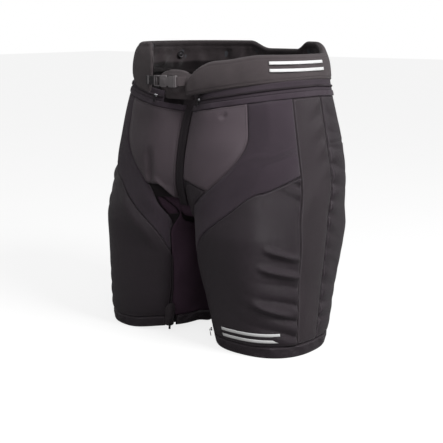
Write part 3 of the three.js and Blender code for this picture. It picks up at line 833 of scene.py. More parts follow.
def make_inner_leg(name, side):
    """The knit panel of the inner thigh, with folds beside the seat."""
    u, v = mesh_grid(0, 1, 0, 1, 76, 66)
    z = lerp(HEM_TOP, 0.240 + 0.030 * (2 * u - 1) ** 4, v)
    flat = inner_leg_points(u, z, 0 * z)
    edge = edge_gap(flat)
    soft = 0.003 * wobble(run(flat, 0), z, 0.09, 31 + side)
    folds = soft + 0.002 * np.sin(z / 0.011 + 4 * u) * (1 - u) ** 2
    depth = seam_dip(edge) + 0.0015 - folds * smooth(edge, 0, 0.02)
    outer = inner_leg_points(u, z, depth)
    inner = inner_leg_points(u, z, depth + CLOTH)
    piece = sheet(f"inner_leg_panel_{name}", outer, inner, INNER_KNIT, side < 0, edge)
    bend(piece, name, side, "nylon", f"inner_leg_panel_{name}")


def hem_points(u, z, depth):
    """The hem's ring, open at the leg's zip."""
    x, y = leg_point(lerp(HEM_SLIT - 1, FULL_RING - 1 - HEM_SLIT, u), z)
    return leg_inset(x, y, z, depth)


def make_hem(name, side):
    """The folded hem band: rounded at the foot, puckered by its stitching at the head."""
    u, v = mesh_grid(0, 1, 0, 1, 300, 10)
    z = lerp(0, HEM_TOP - 0.0004, v)
    length = run(hem_points(u, z, 0 * z), 0)
    head = HEM_TOP - z
    edge = np.minimum.reduce([z, head, length, length[-1:] - length])
    pucker = 0.0014 * wobble(length, 0 * z, 0.022, 41 + side) * smooth(z, 0.002, 0.012)
    pucker = pucker + 0.0007 * wobble(length, z, 0.009, 43 + side) * smooth(z, 0.008, 0.018)
    round_foot = 0.0016 * bell(z, 0.002)
    outer = hem_points(u, z, round_foot + SEAM_DIP * bell(head, 0.002) - pucker)
    inner = hem_points(u, z, 0.0045 - round_foot * 0.5 - pucker)
    piece = sheet(f"leg_hem_{name}", outer, inner, NYLON, side < 0, edge)
    wear(piece, f"{name}_leg", "nylon", f"leg_hem_{name}")


for side_name, side_sign in SIDES:
    make_inner_leg(side_name, side_sign)
    make_hem(side_name, side_sign)


GUSSET_LINE = ((-92, 300), (-86, 278), (-76, 262), (-48, 252), (20, 247), (100, 250), (160, 260), (195, 274),
               (206, 289), (206, 299))  # its (y, z) path in millimetres


def make_gusset():
    """The strip that runs under the crotch from front to back."""
    line = path_points([(0, y * MM - MID_Y, z * MM) for y, z in GUSSET_LINE], 110)
    tangent = unit(np.gradient(line, axis=0))
    inward = np.stack([0 * line[:, 0], -tangent[:, 2], tangent[:, 1]], -1)
    half = 0.0145 + 0.009 * np.sqrt(np.sin(np.linspace(0, math.pi, len(line))).clip(0))
    across = np.linspace(1, -1, 14)[:, None] * half
    outer = line[None] + across[..., None] * np.array([1.0, 0, 0])
    gap = half - np.abs(across)
    dip = seam_dip(gap) - 0.001 * wobble(outer[..., 0], outer[..., 1], 0.03, 51)
    outer = outer + inward[None] * dip[..., None]
    piece = sheet("crotch_gusset", outer, outer + inward[None] * CLOTH, INNER_KNIT, edge=gap)
    wear(piece, "waist", "nylon", "crotch_gusset")


def make_fly():
    """The fly placket covers the front centre, with one folded edge on top."""
    x, z = mesh_grid(-FLY_HALF_WIDTH, FLY_HALF_WIDTH, 0.285, float(panel_top(-1)), 14, 60)
    step = 0.0012 * smooth(x, -0.002, 0.0005)
    turned_edge = 0.0012 * bell(x - FLY_HALF_WIDTH, 0.002)
    y = pelvis_front(z) + groove(x, front_groove(z)) - MID_Y - step + turned_edge
    outer = np.stack([x, y - 0.0008, z], -1)
    piece = sheet("fly_placket", outer, outer + (0, CLOTH, 0), FLY_NYLON, edge=FLY_HALF_WIDTH - np.abs(x))
    wear(piece, "waist", "light_nylon", "fly_placket")


make_gusset()
make_fly()


# ---------------------------------------------------------------- waistband and waist zip
def waist_strip(start, end, bottom, top, rows, columns):
    """Angles, heights and upward shares of a strip round the waist."""
    angle, share = mesh_grid(start, end, 0, 1, columns, rows)
    return angle, lerp(bottom(angle), top(angle), share), share


def band_top(angle):
    return band_bottom(angle) + BAND_HEIGHT + 0.0006


def zip_middle(angle):
    return belt_bottom(angle) - 0.001 - ZIP_HEIGHT / 2


def zip_foot(angle):
    return zip_middle(angle) - ZIP_HEIGHT / 2


def zip_head(angle):
    return zip_foot(angle) + ZIP_HEIGHT + 0.004


def make_waistband():
    """The knit band between the zip and the shell's panels."""
    angle, z, share = waist_strip(WAIST_START, WAIST_STOP, band_bottom, band_top, 9, 360)
    length = run(waist_point(angle, z, 0 * z), 0)
    round_edge = 0.0005 * np.abs(2 * share - 1) ** 5
    pucker = 0.0008 * wobble(length, z, 0.02, 61)
    outer = waist_point(angle, z, round_edge - pucker - 0.0004)
    inner = waist_point(angle, z, 0.003 + 0 * z)
    gap = np.minimum(share, 1 - share) * BAND_HEIGHT
    wear(sheet("waistband", outer, inner, STRETCH, edge=gap), "waist", "nylon", "waistband")


def merge(parts):
    """Joins (vertices, faces) pairs into one."""
    vertices = []
    faces = []
    base = 0
    for points, quads in parts:
        vertices.append(np.asarray(points))
        faces.extend([[i + base for i in face] for face in quads])
        base += len(points)
    return np.concatenate(vertices), faces


CORNERS = np.array([(x, y, z) for x in (-1, 1) for y in (-1, 1) for z in (-1, 1)], float)
BOX_QUADS = [[0, 1, 3, 2], [4, 6, 7, 5], [0, 4, 5, 1], [2, 3, 7, 6], [0, 2, 6, 4], [1, 5, 7, 3]]
TOOTH_TAPER = 0.7


def boxes_along(points, outward, half):
    """One small block with a narrowed top at each point of a line, its long side across the line."""
    tangent = unit(np.gradient(points, axis=0))
    across = np.cross(outward, tangent)
    parts = []
    for centre, side, out, along in zip(points, across, outward, tangent):
        local = CORNERS * half
        narrow = np.where(local[:, 1:2] > 0, TOOTH_TAPER, 1)
        local = local * np.concatenate([narrow, np.ones_like(narrow), narrow], 1)
        turn = np.stack([side, out, along])
        quads = BOX_QUADS if np.linalg.det(turn) > 0 else [q[::-1] for q in BOX_QUADS]
        parts.append((centre + local @ turn, quads))
    return merge(parts)


def make_waist_zip(name, start, end):
    """A zip tape under the belt with its chain of teeth."""
    angle, z, _ = waist_strip(start, end, zip_foot, zip_head, 8, 170)
    outer = waist_point(angle, z, 0.001 + 0 * z)
    tape = sheet(f"waist_zip_tape_{name}", outer, waist_point(angle, z, 0.0022 + 0 * z), TAPE)
    wear(tape, "waist", "zip_fabric", f"waist_zip_tape_{name}")
    line = np.linspace(start + 0.5, end - 0.5, 290)
    centre = waist_point(line, zip_middle(line), 0 * line - 0.0002)
    outward = unit(centre - waist_point(line, zip_middle(line), 0 * line + 0.005))
    vertices, faces = boxes_along(centre, outward, (0.0026, 0.0011, 0.0007))
    wear(add_object(f"waist_zip_teeth_{name}", vertices, faces, TEETH), "waist", "zip_fabric")


def make_belt_tape():
    """The cloth inside that joins the zip's upper tape to the belt's lower edge."""
    angle, share = mesh_grid(-84, 249, 0, 1, 260, 8)
    foot_z = zip_middle(angle) + ZIP_HEIGHT / 2 - 0.003
    foot = waist_point(angle, foot_z, 0.0050 + 0 * angle)
    inward = unit(waist_point(angle, foot_z, 0.010 + 0 * angle) - foot)
    top = belt_point(angle, belt_bottom(angle) + 0.007, BELT_THICKNESS * 0.8 + 0 * angle)
    outer = lerp(foot, top, share[..., None])
    wear(sheet("belt_tape", outer, outer + inward * 0.001, MESH_LINING), "waist", "lining")


make_waistband()
make_belt_tape()
make_waist_zip("left", -85, 89.6)
make_waist_zip("right", 90.4, 261)


# ---------------------------------------------------------------- belt
def stadium(count):
    """Half of the belt's section from its foot up, as (height share, reach of the end's arc, depth share)."""
    turn = np.linspace(0, math.pi / 2, 8)
    low = [(-1, math.cos(a), math.sin(a)) for a in turn]
    flat = [(h, 0, 1) for h in np.linspace(-1, 1, count + 2)[1:-1]]
    high = [(1, math.cos(a), math.sin(a)) for a in turn[::-1]]
    return np.array(low + flat + high)


def right_droop(angle):
    """The right wing hangs a little lower at its end than the left."""
    return 0.020 * smooth(angle, 218, 250)


def right_end_shape(angle, share):
    """The right wing's end bulges at mid-height, with a small corner below and a large one above."""
    low = 3.0 * np.clip(1 - share / 0.54, 0, 1) ** 2
    high = 8.0 * np.clip((share - 0.54) / 0.46, 0, 1) ** 2.4
    return angle - (low + high) * smooth(angle, 219, 252)


def belt_half(inside, inset):
    """Angle, height and depth of the belt's outer or inner surface, and the distance along its ring."""
    angle = lerp(BELT_LEFT_END, BELT_RIGHT_END, np.linspace(0, 1, 300) ** 1.15)[:, None]
    section = stadium(26)
    ring = belt_point(angle[:, 0], belt_bottom(angle[:, 0]), 0 * angle[:, 0])
    length = np.concatenate([[0], np.cumsum(np.linalg.norm(np.diff(ring, axis=0), axis=1))])[:, None]
    from_end = np.minimum(length, length[-1] - length)
    end_round = np.sqrt(1 - (1 - np.clip(from_end / (BELT_THICKNESS / 2), 0, 1)) ** 2)
    thin = 1 - 0.5 * smooth(angle, 222, 250)
    r = (BELT_THICKNESS / 2 - inset) * np.maximum(end_round, 0.04) * thin
    low = belt_bottom(angle) - right_droop(angle) + inset
    high = np.maximum(belt_top(angle) - inset, low + 2.2 * r)
    arc = r - r * section[:, 1]
    straight = lerp(low + r, high - r, (section[:, 0] + 1) / 2)
    z = np.where(section[:, 0] == -1, low + arc, np.where(section[:, 0] == 1, high - arc, straight))
    depth = BELT_THICKNESS / 2 * thin + (1 if inside else -1) * r * section[:, 2]
    share = (z - low) / (high - low)
    return right_end_shape(angle + 0 * z, share), z, depth, length + 0 * z


def belt_sheet(name, inside, finish, relief, slot):
    """The belt's cover or its lining, as a closed sheet. relief(length, height, gap) stands proud of it."""
    grids = []
    for inset in (0, CLOTH):
        angle, z, depth, length = belt_half(inside, inset)
        gap = np.minimum(z - z[:, :1], z[:, -1:] - z)
        proud = relief(length, z, gap) * (-1 if inside else 1)
        grids.append(belt_point(angle, z, depth - proud))
    piece = sheet(name, grids[0], grids[1], finish, False, gap + (0 if inside else 0.02))
    if inside:
        piece.data.flip_normals()
    wear(piece, "waist", slot, name)


def cover_relief(length, z, gap):
    """Soft unevenness of cloth over foam, and a bound edge."""
    soft = 0.0013 * wobble(length, z, 0.10, 71) + 0.0006 * wobble(length, z, 0.035, 73)
    binding = -0.0011 * bell(gap - 0.0075, 0.0014)
    return soft * smooth(gap, 0, 0.02) + binding


def lining_relief(length, z, gap):
    """Loose brushed cloth: upright soft wrinkles, held by the seam near the edge."""
    wrinkle = 0.0042 * wobble(length, 0.3 * z, 0.050, 81) + 0.0018 * wobble(length, z, 0.020, 83)
    seam = -0.0015 * bell(gap - 0.013, 0.0018)
    return wrinkle * smooth(gap, 0.006, 0.025) + seam


belt_sheet("belt_cover", False, BELT_FABRIC, cover_relief, "belt_fabric")
belt_sheet("belt_lining", True, LINING, lining_relief, "lining")


# ---------------------------------------------------------------- padding
def cushion(name, point, a, b, depth, thickness, finish, body, slot, relief=None, flip=False):
    """A pad from one depth inwards over a grid of places, its thickness rounding off towards its border."""
    middle = point(a, b, depth + thickness / 2)
    gap = edge_gap(middle)
    radius = min(0.007, float(np.max(gap)) * 0.8)
    plump = np.sqrt(1 - (1 - np.clip(gap / radius, 0, 1)) ** 2)
    half = thickness / 2 * np.maximum(plump, 0.08)
    rise = 0 if relief is None else relief(run(middle, 0), run(middle, 1), gap)
    outer = point(a, b, depth + thickness / 2 - half - rise)
    inner = point(a, b, depth + thickness / 2 + half)
    return wear(sheet(name, outer, inner, finish, flip, gap + 0.02), body, slot, name)


def skin_at(t, z, depth):
    """Points of the left half of the skin, moved inwards by depth."""
    return skin(t, z) - skin_normal(t, z) * (np.asarray(depth) + 0 * z)[..., None]


def channels(pitch, depth):
    """Grooves across a foam, where it flexes."""

    def relief(across, _upward, _gap):
        return -depth * bell(np.mod(across, pitch) - pitch / 2, 0.0016)

    return relief


def ribs(_across, _upward, gap):
    """Two raised ribs round a moulded guard."""
    return 0.0012 * bell(gap - 0.010, 0.0022) + 0.0008 * bell(gap - 0.018, 0.002)


def make_belt_pads():
    """Foam in the belt: a wing and a kidney pad on each side, and the spine pad between."""
    edges = (BELT_LEFT_END + 8, SPINE_ANGLE - 84, SPINE_ANGLE - 22, SPINE_ANGLE + 22, SPINE_ANGLE + 86,
             BELT_RIGHT_END - 6)
    names = ("belt_foam_left", "kidney_pad_left", "spine_pad", "kidney_pad_right", "belt_foam_right")
    for name, start, end in zip(names, edges, edges[1:]):
        angle, share = mesh_grid(start + 0.6, end - 0.6, 0, 1, 50, 18)
        z = lerp(belt_bottom(angle) + 0.004, belt_top(angle) - 0.004, share)
        cushion(name, belt_point, angle, z, 0.003, 0.009, FOAM, "waist", "foam", channels(0.03, 0.0012))


# limits of the guards and their foam: from and to around the body, then lowest and highest
HIP_GUARD = (-0.3, 0.4, 0.352, 0.478)
TAIL_GUARD = (73, 107, 0.362, 0.468)
TAIL_FOAM = (71, 109, 0.357, 0.473)
THIGH_GUARD = (-0.84, -0.02, 0.042, 0.252)
THIGH_FOAM = (-0.86, 0.0, 0.036, 0.256)


def make_guards():
    """Moulded plates over the hips, the tailbone and the front of the thighs, with foam behind."""
    t, z = mesh_grid(*HIP_GUARD, 60, 34)
    for name, side in SIDES:
        cushion(f"hip_guard_{name}", skin_at, t, z, 0.005, 0.007, GUARD, "waist", "guard_plastic", ribs,
                side < 0)
    angle, z = mesh_grid(*TAIL_GUARD, 40, 30)
    cushion("tailbone_guard", waist_point, angle, z, 0.0045, 0.0028, GUARD, "waist", "guard_plastic")
    angle, z = mesh_grid(*TAIL_FOAM, 40, 30)
    cushion("tailbone_foam", waist_point, angle, z, 0.008, 0.0075, FOAM, "waist", "foam",
            channels(0.022, 0.001))
    for name, side in SIDES:
        leg = f"{name}_leg"
        t, z = mesh_grid(*THIGH_GUARD, 70, 52)
        cushion(f"thigh_guard_{name}", skin_at, t, z, 0.0125, 0.0022, GUARD, leg, "guard_plastic", None,
                side < 0)
        t, z = mesh_grid(*THIGH_FOAM, 70, 52)
        cushion(f"thigh_foam_{name}", skin_at, t, z, 0.0160, 0.0075, FOAM, leg, "foam",
                channels(0.035, 0.0012), side < 0)


make_belt_pads()
make_guards()


# ---------------------------------------------------------------- linings
def make_shell_lining():
    """Hides the guards in the waist: it bulges inwards over each of them."""
    angle, z = mesh_grid(-88, 268, 0.300, 0.531, 260, 56)
    t = np.where(angle <= 90, angle, 180 - angle) / 90
    hip = window(t, (-0.38, -0.30), (0.40, 0.48)) * window(z, (0.335, 0.352), (0.478, 0.495))
    tail = smooth(np.abs(t), 0.70, 0.78) * (t > 0) * window(z, (0.340, 0.357), (0.473, 0.488))
    depth = 0.0042 + 0.0095 * hip + 0.0125 * tail + 0.004 * smooth(z, 0.50, 0.53)
    depth = depth + 0.0012 * wobble(run(waist_point(angle, z, depth), 0), z, 0.05, 91)
    outer = waist_point(angle, z, depth)
    wear(sheet("shell_lining", outer, waist_point(angle, z, depth + 0.001), MESH_LINING), "waist", "lining")


def make_leg_lining(name, side):
    """A sleeve inside the leg, behind the thigh foam, turned up behind the hem."""
    t, z = mesh_grid(-LEG_EDGE, LEG_EDGE, 0.005, 0.262, 130, 62)
    foam = window(t, (-0.95, -0.87), (0.01, 0.09)) * smooth(z, 0.018, 0.034)
    depth = 0.0055 + 0.0195 * foam + 0.0012 * wobble(t * RING, z, 0.06, 95 + side)
    u, low_z = mesh_grid(0.01, 0.99, 0.005, 0.262, 50, 62)
    low_z = low_z * 0.93
    outer = np.concatenate([skin_at(t, z, depth), inner_leg_points(u, low_z, 0.0055 + 0 * low_z)])
    inner = np.concatenate([skin_at(t, z, depth + 0.001), inner_leg_points(u, low_z, 0.0065 + 0 * low_z)])
    bend(sheet(f"leg_lining_{name}", outer, inner, MESH_LINING, side < 0), name, side, "lining")


make_shell_lining()
for side_name, side_sign in SIDES:
    make_leg_lining(side_name, side_sign)


# ---------------------------------------------------------------- tongue
TONGUE_LOW, TONGUE_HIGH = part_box("tongue")
TONGUE_MID = (TONGUE_LOW.x + TONGUE_HIGH.x) / 2
TONGUE_HALF = (TONGUE_HIGH.x - TONGUE_LOW.x) / 2 + 0.006


def tongue_point(x, z, depth):
    across = np.clip((x - TONGUE_MID) / TONGUE_HALF, -1, 1)
    y = TONGUE_LOW.y + 0.010 * across**2 + 0.012 * smooth(z, 0.53, 0.56) - 0.006
    return np.stack(np.broadcast_arrays(x, y + depth, z), -1)


def tongue_relief(across, upward, gap):
    """Soft padding with a seam near its border."""
    return 0.0012 * wobble(across, upward, 0.03, 101) - 0.001 * bell(gap - 0.006, 0.0012)


def make_tongue():
    """The padded tongue behind the buckle, with a low rounded top."""
    x, share = mesh_grid(TONGUE_MID - TONGUE_HALF, TONGUE_MID + TONGUE_HALF, 0, 1, 50, 30)
    across = (x - TONGUE_MID) / TONGUE_HALF
    z = lerp(0.498, TONGUE_HIGH.z - 0.016 * np.abs(across) ** 2.5, share)
    cushion("tongue", tongue_point, x, z, 0.001, 0.007, BELT_FABRIC, "waist", "belt_fabric", tongue_relief)


make_tongue()


# ---------------------------------------------------------------- buckle and webbing
PLASTIC_WALL = 0.0022


def arc_points(x, z, radius, start, end, count=7):
    turn = np.radians(np.linspace(start, end, count))
    return [(x + radius * math.cos(a), z + radius * math.sin(a)) for a in turn]


def rounded_outline(x0, x1, z0, z1, radius, notch=0.0, notch_x=0.0):
    """A rounded rectangle, anticlockwise seen from the front, with an optional notch in its foot and head."""
    points = arc_points(x0 + radius, z0 + radius, radius, 180, 270)
    if notch:
        points += arc_points(notch_x, z0, notch, 180, 0, 9)
    points += arc_points(x1 - radius, z0 + radius, radius, 270, 360)
    points += arc_points(x1 - radius, z1 - radius, radius, 0, 90)
    if notch:
        points += arc_points(notch_x, z1, notch, 0, -180, 9)
    points += arc_points(x0 + radius, z1 - radius, radius, 90, 180)
    return points


def moulded(outline, y0, y1, bevel=0.0006):
    """A plate of moulded plastic: an outline in X and Z, from y0 back to y1, with rounded edges."""
    shape = bmesh.new()
    front = [shape.verts.new((x, y0, z)) for x, z in outline]
    back = [shape.verts.new((x, y1, z)) for x, z in outline]
    shape.faces.new(front)
    shape.faces.new(back[::-1])
    for i in range(len(outline)):
        j = (i + 1) % len(outline)
        shape.faces.new((front[j], front[i], back[i], back[j]))
    bmesh.ops.recalc_face_normals(shape, faces=shape.faces)
    rims = [e for e in shape.edges if abs(e.verts[0].co.y - e.verts[1].co.y) < 1e-9]
    bmesh.ops.bevel(shape, geom=rims, offset=bevel, segments=3, profile=0.5, affect="EDGES")
    shape.verts.index_update()
    points = np.array([v.co[:] for v in shape.verts])
    faces = [[v.index for v in face.verts] for face in shape.faces]
    shape.free()
    return points, faces


def plate(x0, x1, z0, z1, radius, y0, y1):
    """A rounded rectangular plate of moulded plastic."""
    return moulded(rounded_outline(x0, x1, z0, z1, radius), y0, y1)


def make_socket():
    """Two notched shells round the plug, two rails, and a slotted end for the strap."""
    low, high = BUCKLE_LOW, BUCKLE_HIGH
    middle = (low.x + high.x) / 2
    rail_start = low.x + 0.001
    rail_end = middle - 0.006
    outline = rounded_outline(low.x, high.x, low.z, high.z, 0.0025, 0.0030, middle)
    parts = [
        moulded(outline, low.y, low.y + PLASTIC_WALL),
        moulded(outline, high.y - PLASTIC_WALL, high.y),
        plate(high.x - 0.010, high.x - 0.0063, low.z, high.z, 0.002, low.y + 0.0006, high.y - 0.0006),
        plate(high.x - 0.0026, high.x, low.z, high.z, 0.0012, low.y - 0.0004, high.y + 0.0004),
        plate(rail_start, rail_end, low.z, low.z + PLASTIC_WALL, 0.0009, low.y + 0.001, high.y - 0.001),
        plate(rail_start, rail_end, high.z - PLASTIC_WALL, high.z, 0.0009, low.y + 0.001, high.y - 0.001),
        plate(low.x + 0.004, middle - 0.0045, BUCKLE_Z - 0.006, BUCKLE_Z + 0.006, 0.0015,
              low.y - 0.0005, low.y + 0.001),
    ]
    wear(add_object("buckle_socket", *merge(parts), BUCKLE), "waist", "buckle_plastic", "buckle_socket")


def make_plug():
    """A ladder lock of three bars between two rails, and a tongue that enters the socket."""
    low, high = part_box("buckle_plug")
    end = BUCKLE_LOW.x - 0.001
    parts = [
        plate(low.x, low.x + 0.0024, low.z, high.z, 0.0012, low.y, high.y),
        plate(low.x + 0.0049, low.x + 0.0072, low.z, high.z, 0.0012, low.y + 0.0006, high.y - 0.0006),
        plate(end - 0.0034, end, low.z, high.z, 0.0012, low.y, high.y),
        plate(low.x, end, low.z, low.z + PLASTIC_WALL, 0.001, low.y, high.y),
        plate(low.x, end, high.z - PLASTIC_WALL, high.z, 0.001, low.y, high.y),
        plate(end - 0.001, high.x, BUCKLE_Z - 0.003, BUCKLE_Z + 0.003, 0.0012,
              BUCKLE_Y - 0.002, BUCKLE_Y + 0.002),
    ]
    wear(add_object("buckle_plug", *merge(parts), BUCKLE), "buckle_plug", "buckle_plastic", "buckle_plug")


def make_prong(name, sign):
    """A springy arm that ends in a barb."""
    low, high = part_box(f"buckle_prong_{name}")
    inner, outer = (low.z, high.z) if sign > 0 else (high.z, low.z)
    waist = lerp(inner, outer, 0.65)
    outline = [(low.x, inner), (high.x - 0.004, inner), (high.x, lerp(inner, outer, 0.4)), (high.x, outer),
               (high.x - 0.005, outer), (high.x - 0.007, waist), (low.x + 0.003, waist), (low.x, waist)]
    outline = outline if sign > 0 else outline[::-1]
    piece = add_object(f"buckle_prong_{name}", *moulded(outline, low.y, high.y, 0.0005), BUCKLE)
    wear(piece, f"buckle_prong_{name}", "buckle_plastic", f"buckle_prong_{name}")


def webbing(name, keys, half_height, finish, *nodes):
    """A strap on edge: keys are (x, y) places of its middle, and it stands half_height up and down."""
    line = path_points([(x, y, 0.0) for x, y in keys], 60)
    tangent = unit(np.gradient(line, axis=0))
    inward = np.stack([-tangent[:, 1], tangent[:, 0], 0 * tangent[:, 0]], -1)
    rows = np.linspace(-1, 1, 22)
    height = BUCKLE_Z + rows[None, :] * half_height
    centre = np.stack(np.broadcast_arrays(line[:, :1], line[:, 1:2], height), -1)
    thin = 0.00075 * (1 - np.abs(rows) ** 8 * 0.8)[None, :, None]
    ribbed = 0.00015 * np.cos(rows * 9 * math.pi)[None, :, None]
    outer = centre - inward[:, None] * (thin + ribbed)
    wear(sheet(name, outer, centre + inward[:, None] * thin, finish), "waist", "webbing", *nodes)


def make_straps():
    """The socket's strap to the left wing, the plug's strap to the right wing, and that wing's bar tack."""
    low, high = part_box("buckle_strap_left")
    half = (high.z - low.z) / 2
    slot_x = BUCKLE_HIGH.x - 0.0035
    plug_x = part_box("buckle_plug")[0].x
    left = [(slot_x, BUCKLE_Y + 0.001), (slot_x + 0.004, BUCKLE_Y + 0.0015),
            (slot_x + 0.009, BUCKLE_Y + 0.010), (0.0125, BELT_FRONT_Y + 0.004)]
    right = [(-0.086, BELT_FRONT_Y - 0.0030), (-0.079, BELT_FRONT_Y - 0.0042),
             (plug_x - 0.008, BUCKLE_Y + 0.0060), (plug_x + 0.0010, BUCKLE_Y + 0.0052)]
    tack = [(-0.0815, BELT_FRONT_Y - 0.0050), (-0.0790, BELT_FRONT_Y - 0.0058),
            (-0.0765, BELT_FRONT_Y - 0.0062)]
    webbing("buckle_strap_left", left, half, BELT_FABRIC, "buckle_strap_left")
    webbing("buckle_strap_right", right, half, WEBBING, "buckle_strap_right")
    webbing("wing_bartack", tack, half * 0.9, GREY_WEBBING)


make_socket()
make_plug()
make_prong("upper", 1)
make_prong("lower", -1)
make_straps()


# ---------------------------------------------------------------- zip sliders, pulls and leg zips
def local_frame(node, centre):
    """Centre, side, outward and up directions of a small block-shaped CAD node, from its own corners."""
    co = np.array([v.co for v in frame["nodes"][node].data.vertices], float)
    corners = np.unique(np.round(co, 5), axis=0)
    middle = corners.mean(0)
    spread = np.linalg.svd(corners - middle, full_matrices=False)
    axes = spread[2][np.argsort(-spread[1])]
    thin = axes[2]
    outward = thin * np.sign(np.dot(thin, (middle - centre) * (1, 1, 0)))
    up = axes[1] if abs(axes[1][2]) > abs(axes[0][2]) else axes[0]
    up = up * np.sign(up[2])
    return middle, np.cross(up, outward), outward, up


def placed(parts, origin, side, outward, up):
    """Turns pieces drawn with X to the side, -Y outward and Z up into their place."""
    turn = np.stack([side, -outward, up])
    return [(origin + points @ turn, faces) for points, faces in parts]


def make_slider(node, centre):
    """A zip slider: a waisted body and a crown on top for the pull."""
    origin, side, outward, up = local_frame(node, centre)
    body = [(-0.0028, 0.0029), (-0.0039, 0.0012), (-0.0034, -0.0029), (0.0034, -0.0029), (0.0039, 0.0012),
            (0.0028, 0.0029)][::-1]
    crown = rounded_outline(-0.0012, 0.0012, -0.0024, 0.0022, 0.001)
    parts = [moulded(body, -0.0009, 0.0017, 0.0005), moulded(crown, -0.0019, 0.0, 0.0005)]
    piece = add_object(node, *merge(placed(parts, origin, side, outward, up)), BRIGHT_METAL)
    wear(piece, node, "metal", node)


def make_pull(node, centre):
    """A flat pull: a stem with a wide head and a gripping end."""
    origin, side, outward, up = local_frame(node, centre)
    low, high = -0.0073, 0.0073
    stem = rounded_outline(-0.0012, 0.0012, low + 0.004, high - 0.003, 0.001)
    head = rounded_outline(-0.0022, 0.0022, high - 0.0045, high, 0.0018)
    grip = rounded_outline(-0.0025, 0.0025, low, low + 0.007, 0.0016)
    parts = [moulded(stem, -0.0005, 0.0005, 0.0003), moulded(head, -0.0007, 0.0007, 0.0004),
             moulded(grip, -0.00075, 0.00075, 0.0004)]
    piece = add_object(node, *merge(placed(parts, origin, side, outward, up)), DARK_METAL)
    wear(piece, node, "zip_fabric", node)


def make_leg_zip(name, side):
    """Tape and teeth behind the slit at the inner thigh's front edge."""
    share = -1 + HEM_SLIT / 4
    leg = f"{name}_leg"
    t, z = mesh_grid(share - 0.03, share + 0.03, 0.003, 0.175, 8, 50)
    tape = sheet(f"leg_zip_tape_{name}", skin_at(t, z, 0.0022), skin_at(t, z, 0.0034), TAPE, side < 0)
    wear(tape, leg, "zip_fabric", f"leg_zip_tape_{name}")
    z = np.linspace(0.004, 0.172, 76)
    centre = skin_at(share + 0 * z, z, 0.0012)
    vertices, faces = boxes_along(centre, skin_normal(share + 0 * z, z), (0.0024, 0.0010, 0.0007))
    if side < 0:
        vertices = vertices * (-1, 1, 1)
        faces = [face[::-1] for face in faces]
    wear(add_object(f"leg_zip_teeth_{name}", vertices, faces, TEETH), leg, "zip_fabric")


for side_name, side_sign in SIDES:
    for place, centre in (("waist", (0, 0, 0)), ("leg", (0.13 * side_sign, -0.04, 0))):
        for part, make in (("slider", make_slider), ("pull", make_pull)):
            make(f"{place}_zip_{part}_{side_name}", np.array(centre))
    make_leg_zip(side_name, side_sign)


# ---------------------------------------------------------------- suspender buttons and small trims
def lathe(outline):
    """A turned shape from an outline of (radius, height) pairs, closed by a flat face at each end."""
    count = 36
    turn = np.linspace(0, 2 * math.pi, count, endpoint=False)
    circle = np.stack([np.cos(turn), np.sin(turn), 0 * turn], -1)
    points = np.concatenate([circle * r + (0, 0, h) for r, h in outline])
    faces = []
    for ring in range(0, (len(outline) - 1) * count, count):
        for j in range(count):
            k = (j + 1) % count
            faces.append([ring + j, ring + k, ring + count + k, ring + count + j])
    faces.append(list(range(count))[::-1])
    faces.append([(len(outline) - 1) * count + j for j in range(count)])
    return points, faces


def make_button(name):
    """A jeans-type button with a rim and a dished head, on a short post."""
    node = f"suspender_button_{name}"
    mount = next(m for m in frame["record"]["mounts"] if m["name"] == f"{node}_face")
    outline = [(0.0026, -0.0040), (0.0026, -0.0022), (0.0070, -0.0020), (0.0080, -0.0012), (0.0079, -0.0003),
               (0.0070, 0.0), (0.0062, -0.0002), (0.0055, -0.0007), (0.0030, -0.0006), (0.0022, -0.0002),
               (0.0004, -0.0001)]
    points, faces = lathe(outline)
    turn = np.array(Vector((0, 0, 1)).rotation_difference(Vector(mount["axis"])).to_matrix())
    points = points @ turn.T + np.array(Vector(mount["pos_m"]))
    wear(add_object(node, points, faces, DARK_METAL), "waist", "metal", node)


make_button("left")
make_button("right")


BAR_HEIGHT = 0.006


def make_hem_tab(name, side):
    """A small fabric tab over the foot of the leg's zip."""
    u, v = mesh_grid(-1, 1, 0, 1, 14, 22)
    t = -0.985 + 0.040 * u
    z = lerp(0.004, 0.062 - 0.016 * np.abs(u) ** 2.5, v)
    proud = lerp(0.0085, 0.0020, np.abs(u) ** 2.5)
    outer = skin_at(t, z, -proud)
    piece = sheet(f"hem_tab_{name}", outer, skin_at(t, z, 0.0014 - proud), STRIPE_NYLON, side < 0)
    wear(piece, f"{name}_leg", "light_nylon")


make_hem_tab("right", -1)


def make_prints():
    """Two plain bars on the belt's left side and two on the left thigh's hem."""
    for i, z0 in enumerate((0.556, 0.570)):
        angle, z = mesh_grid(-37, 6, z0, z0 + BAR_HEIGHT, 60, 5)
        outer = belt_point(angle, z, -0.0016 + 0 * z)
        bar = sheet(f"belt_bar_{i + 1}", outer, belt_point(angle, z, -0.0006 + 0 * z), PRINT)
        wear(bar, "waist", "belt_fabric")
    for i, z0 in enumerate((0.034, 0.047)):
        t, z = mesh_grid(-0.78, -0.34, z0, z0 + BAR_HEIGHT, 46, 4)
        bar = sheet(f"thigh_bar_{i + 1}", skin_at(t, z, -0.003), skin_at(t, z, -0.0022), PRINT)
        bend(bar, "left", 1, "nylon")


make_prints()

# ---------------------------------------------------------------- stage, light and camera
VIEW_AZIMUTH = math.radians(37.93)
VIEW_ELEVATION = math.radians(11.36)
VIEW_DISTANCE = 2.052
VIEW_TARGET = Vector((0, -MID_Y, 0.248))
VIEW_LENS = 78.96
VIEW_SHIFT = (0.0192, -0.0129)
AMBIENT = 0.36
LIGHT_TARGET = (0, 0, 0.35)
FLOOR_HALF = 14.0


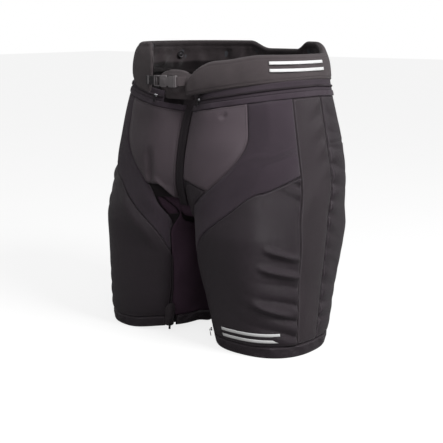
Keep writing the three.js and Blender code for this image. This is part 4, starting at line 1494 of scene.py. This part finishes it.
def make_camera():
    back = Vector((math.sin(VIEW_AZIMUTH) * math.cos(VIEW_ELEVATION),
                   -math.cos(VIEW_AZIMUTH) * math.cos(VIEW_ELEVATION), math.sin(VIEW_ELEVATION)))
    data = bpy.data.cameras.new("camera")
    data.lens = VIEW_LENS
    data.sensor_width = 36
    data.shift_x, data.shift_y = VIEW_SHIFT
    camera = bpy.data.objects.new("camera", data)
    camera.location = VIEW_TARGET + back * VIEW_DISTANCE
    camera.rotation_euler = back.to_track_quat("Z", "Y").to_euler()
    bpy.context.scene.collection.objects.link(camera)
    bpy.context.scene.camera = camera


def area_light(name, place, target, size, watts):
    data = bpy.data.lights.new(name, "AREA")
    data.size = size
    data.energy = watts
    light = bpy.data.objects.new(name, data)
    light.location = place
    light.rotation_euler = (Vector(place) - Vector(target)).to_track_quat("Z", "Y").to_euler()
    bpy.context.scene.collection.objects.link(light)


def pale_ground():
    """A floor that looks near white but gives back little light, as a lit sweep behind the object would."""
    finish = Finish("pale_floor", (0.30, 0.30, 0.30, 1), 0.9, specular=0.0)
    finish.shade(finish.spread(finish.noise(3), 0.98, 1.0))
    finish.shader.inputs["Emission Color"].default_value = (1, 1, 1, 1)
    path = finish.nodes.new("ShaderNodeLightPath")
    glow = finish.math("MULTIPLY", path.outputs["Is Camera Ray"], 0.80)
    finish.links.new(glow, finish.shader.inputs["Emission Strength"])
    return finish.done()


def make_world():
    """White behind the object, and a dim even light from all round."""
    world = bpy.data.worlds.new("world")
    world.use_nodes = True
    nodes = world.node_tree.nodes
    path = nodes.new("ShaderNodeLightPath")
    level = nodes.new("ShaderNodeMapRange")
    level.inputs["To Min"].default_value = AMBIENT
    level.inputs["To Max"].default_value = 1.0
    world.node_tree.links.new(path.outputs["Is Camera Ray"], level.inputs["Value"])
    background = nodes["Background"]
    background.inputs[0].default_value = (1, 1, 1, 1)
    world.node_tree.links.new(level.outputs[0], background.inputs[1])
    bpy.context.scene.world = world


def make_stage():
    """A pale floor, a large soft key from the wearer's left and a weaker light in front."""
    corners = np.array([(-1, -1, 0), (1, -1, 0), (1, 1, 0), (-1, 1, 0)]) * FLOOR_HALF
    add_object("floor", corners - (0, 0, 0.0005), [[0, 1, 2, 3]], pale_ground())
    make_world()
    bpy.context.scene.view_settings.view_transform = "Standard"
    area_light("key", (1.75, -0.25, 1.85), LIGHT_TARGET, 0.8, 40)
    area_light("front_fill", (1.6, -2.0, 2.2), LIGHT_TARGET, 1.1, 11.5)


make_camera()
make_stage()
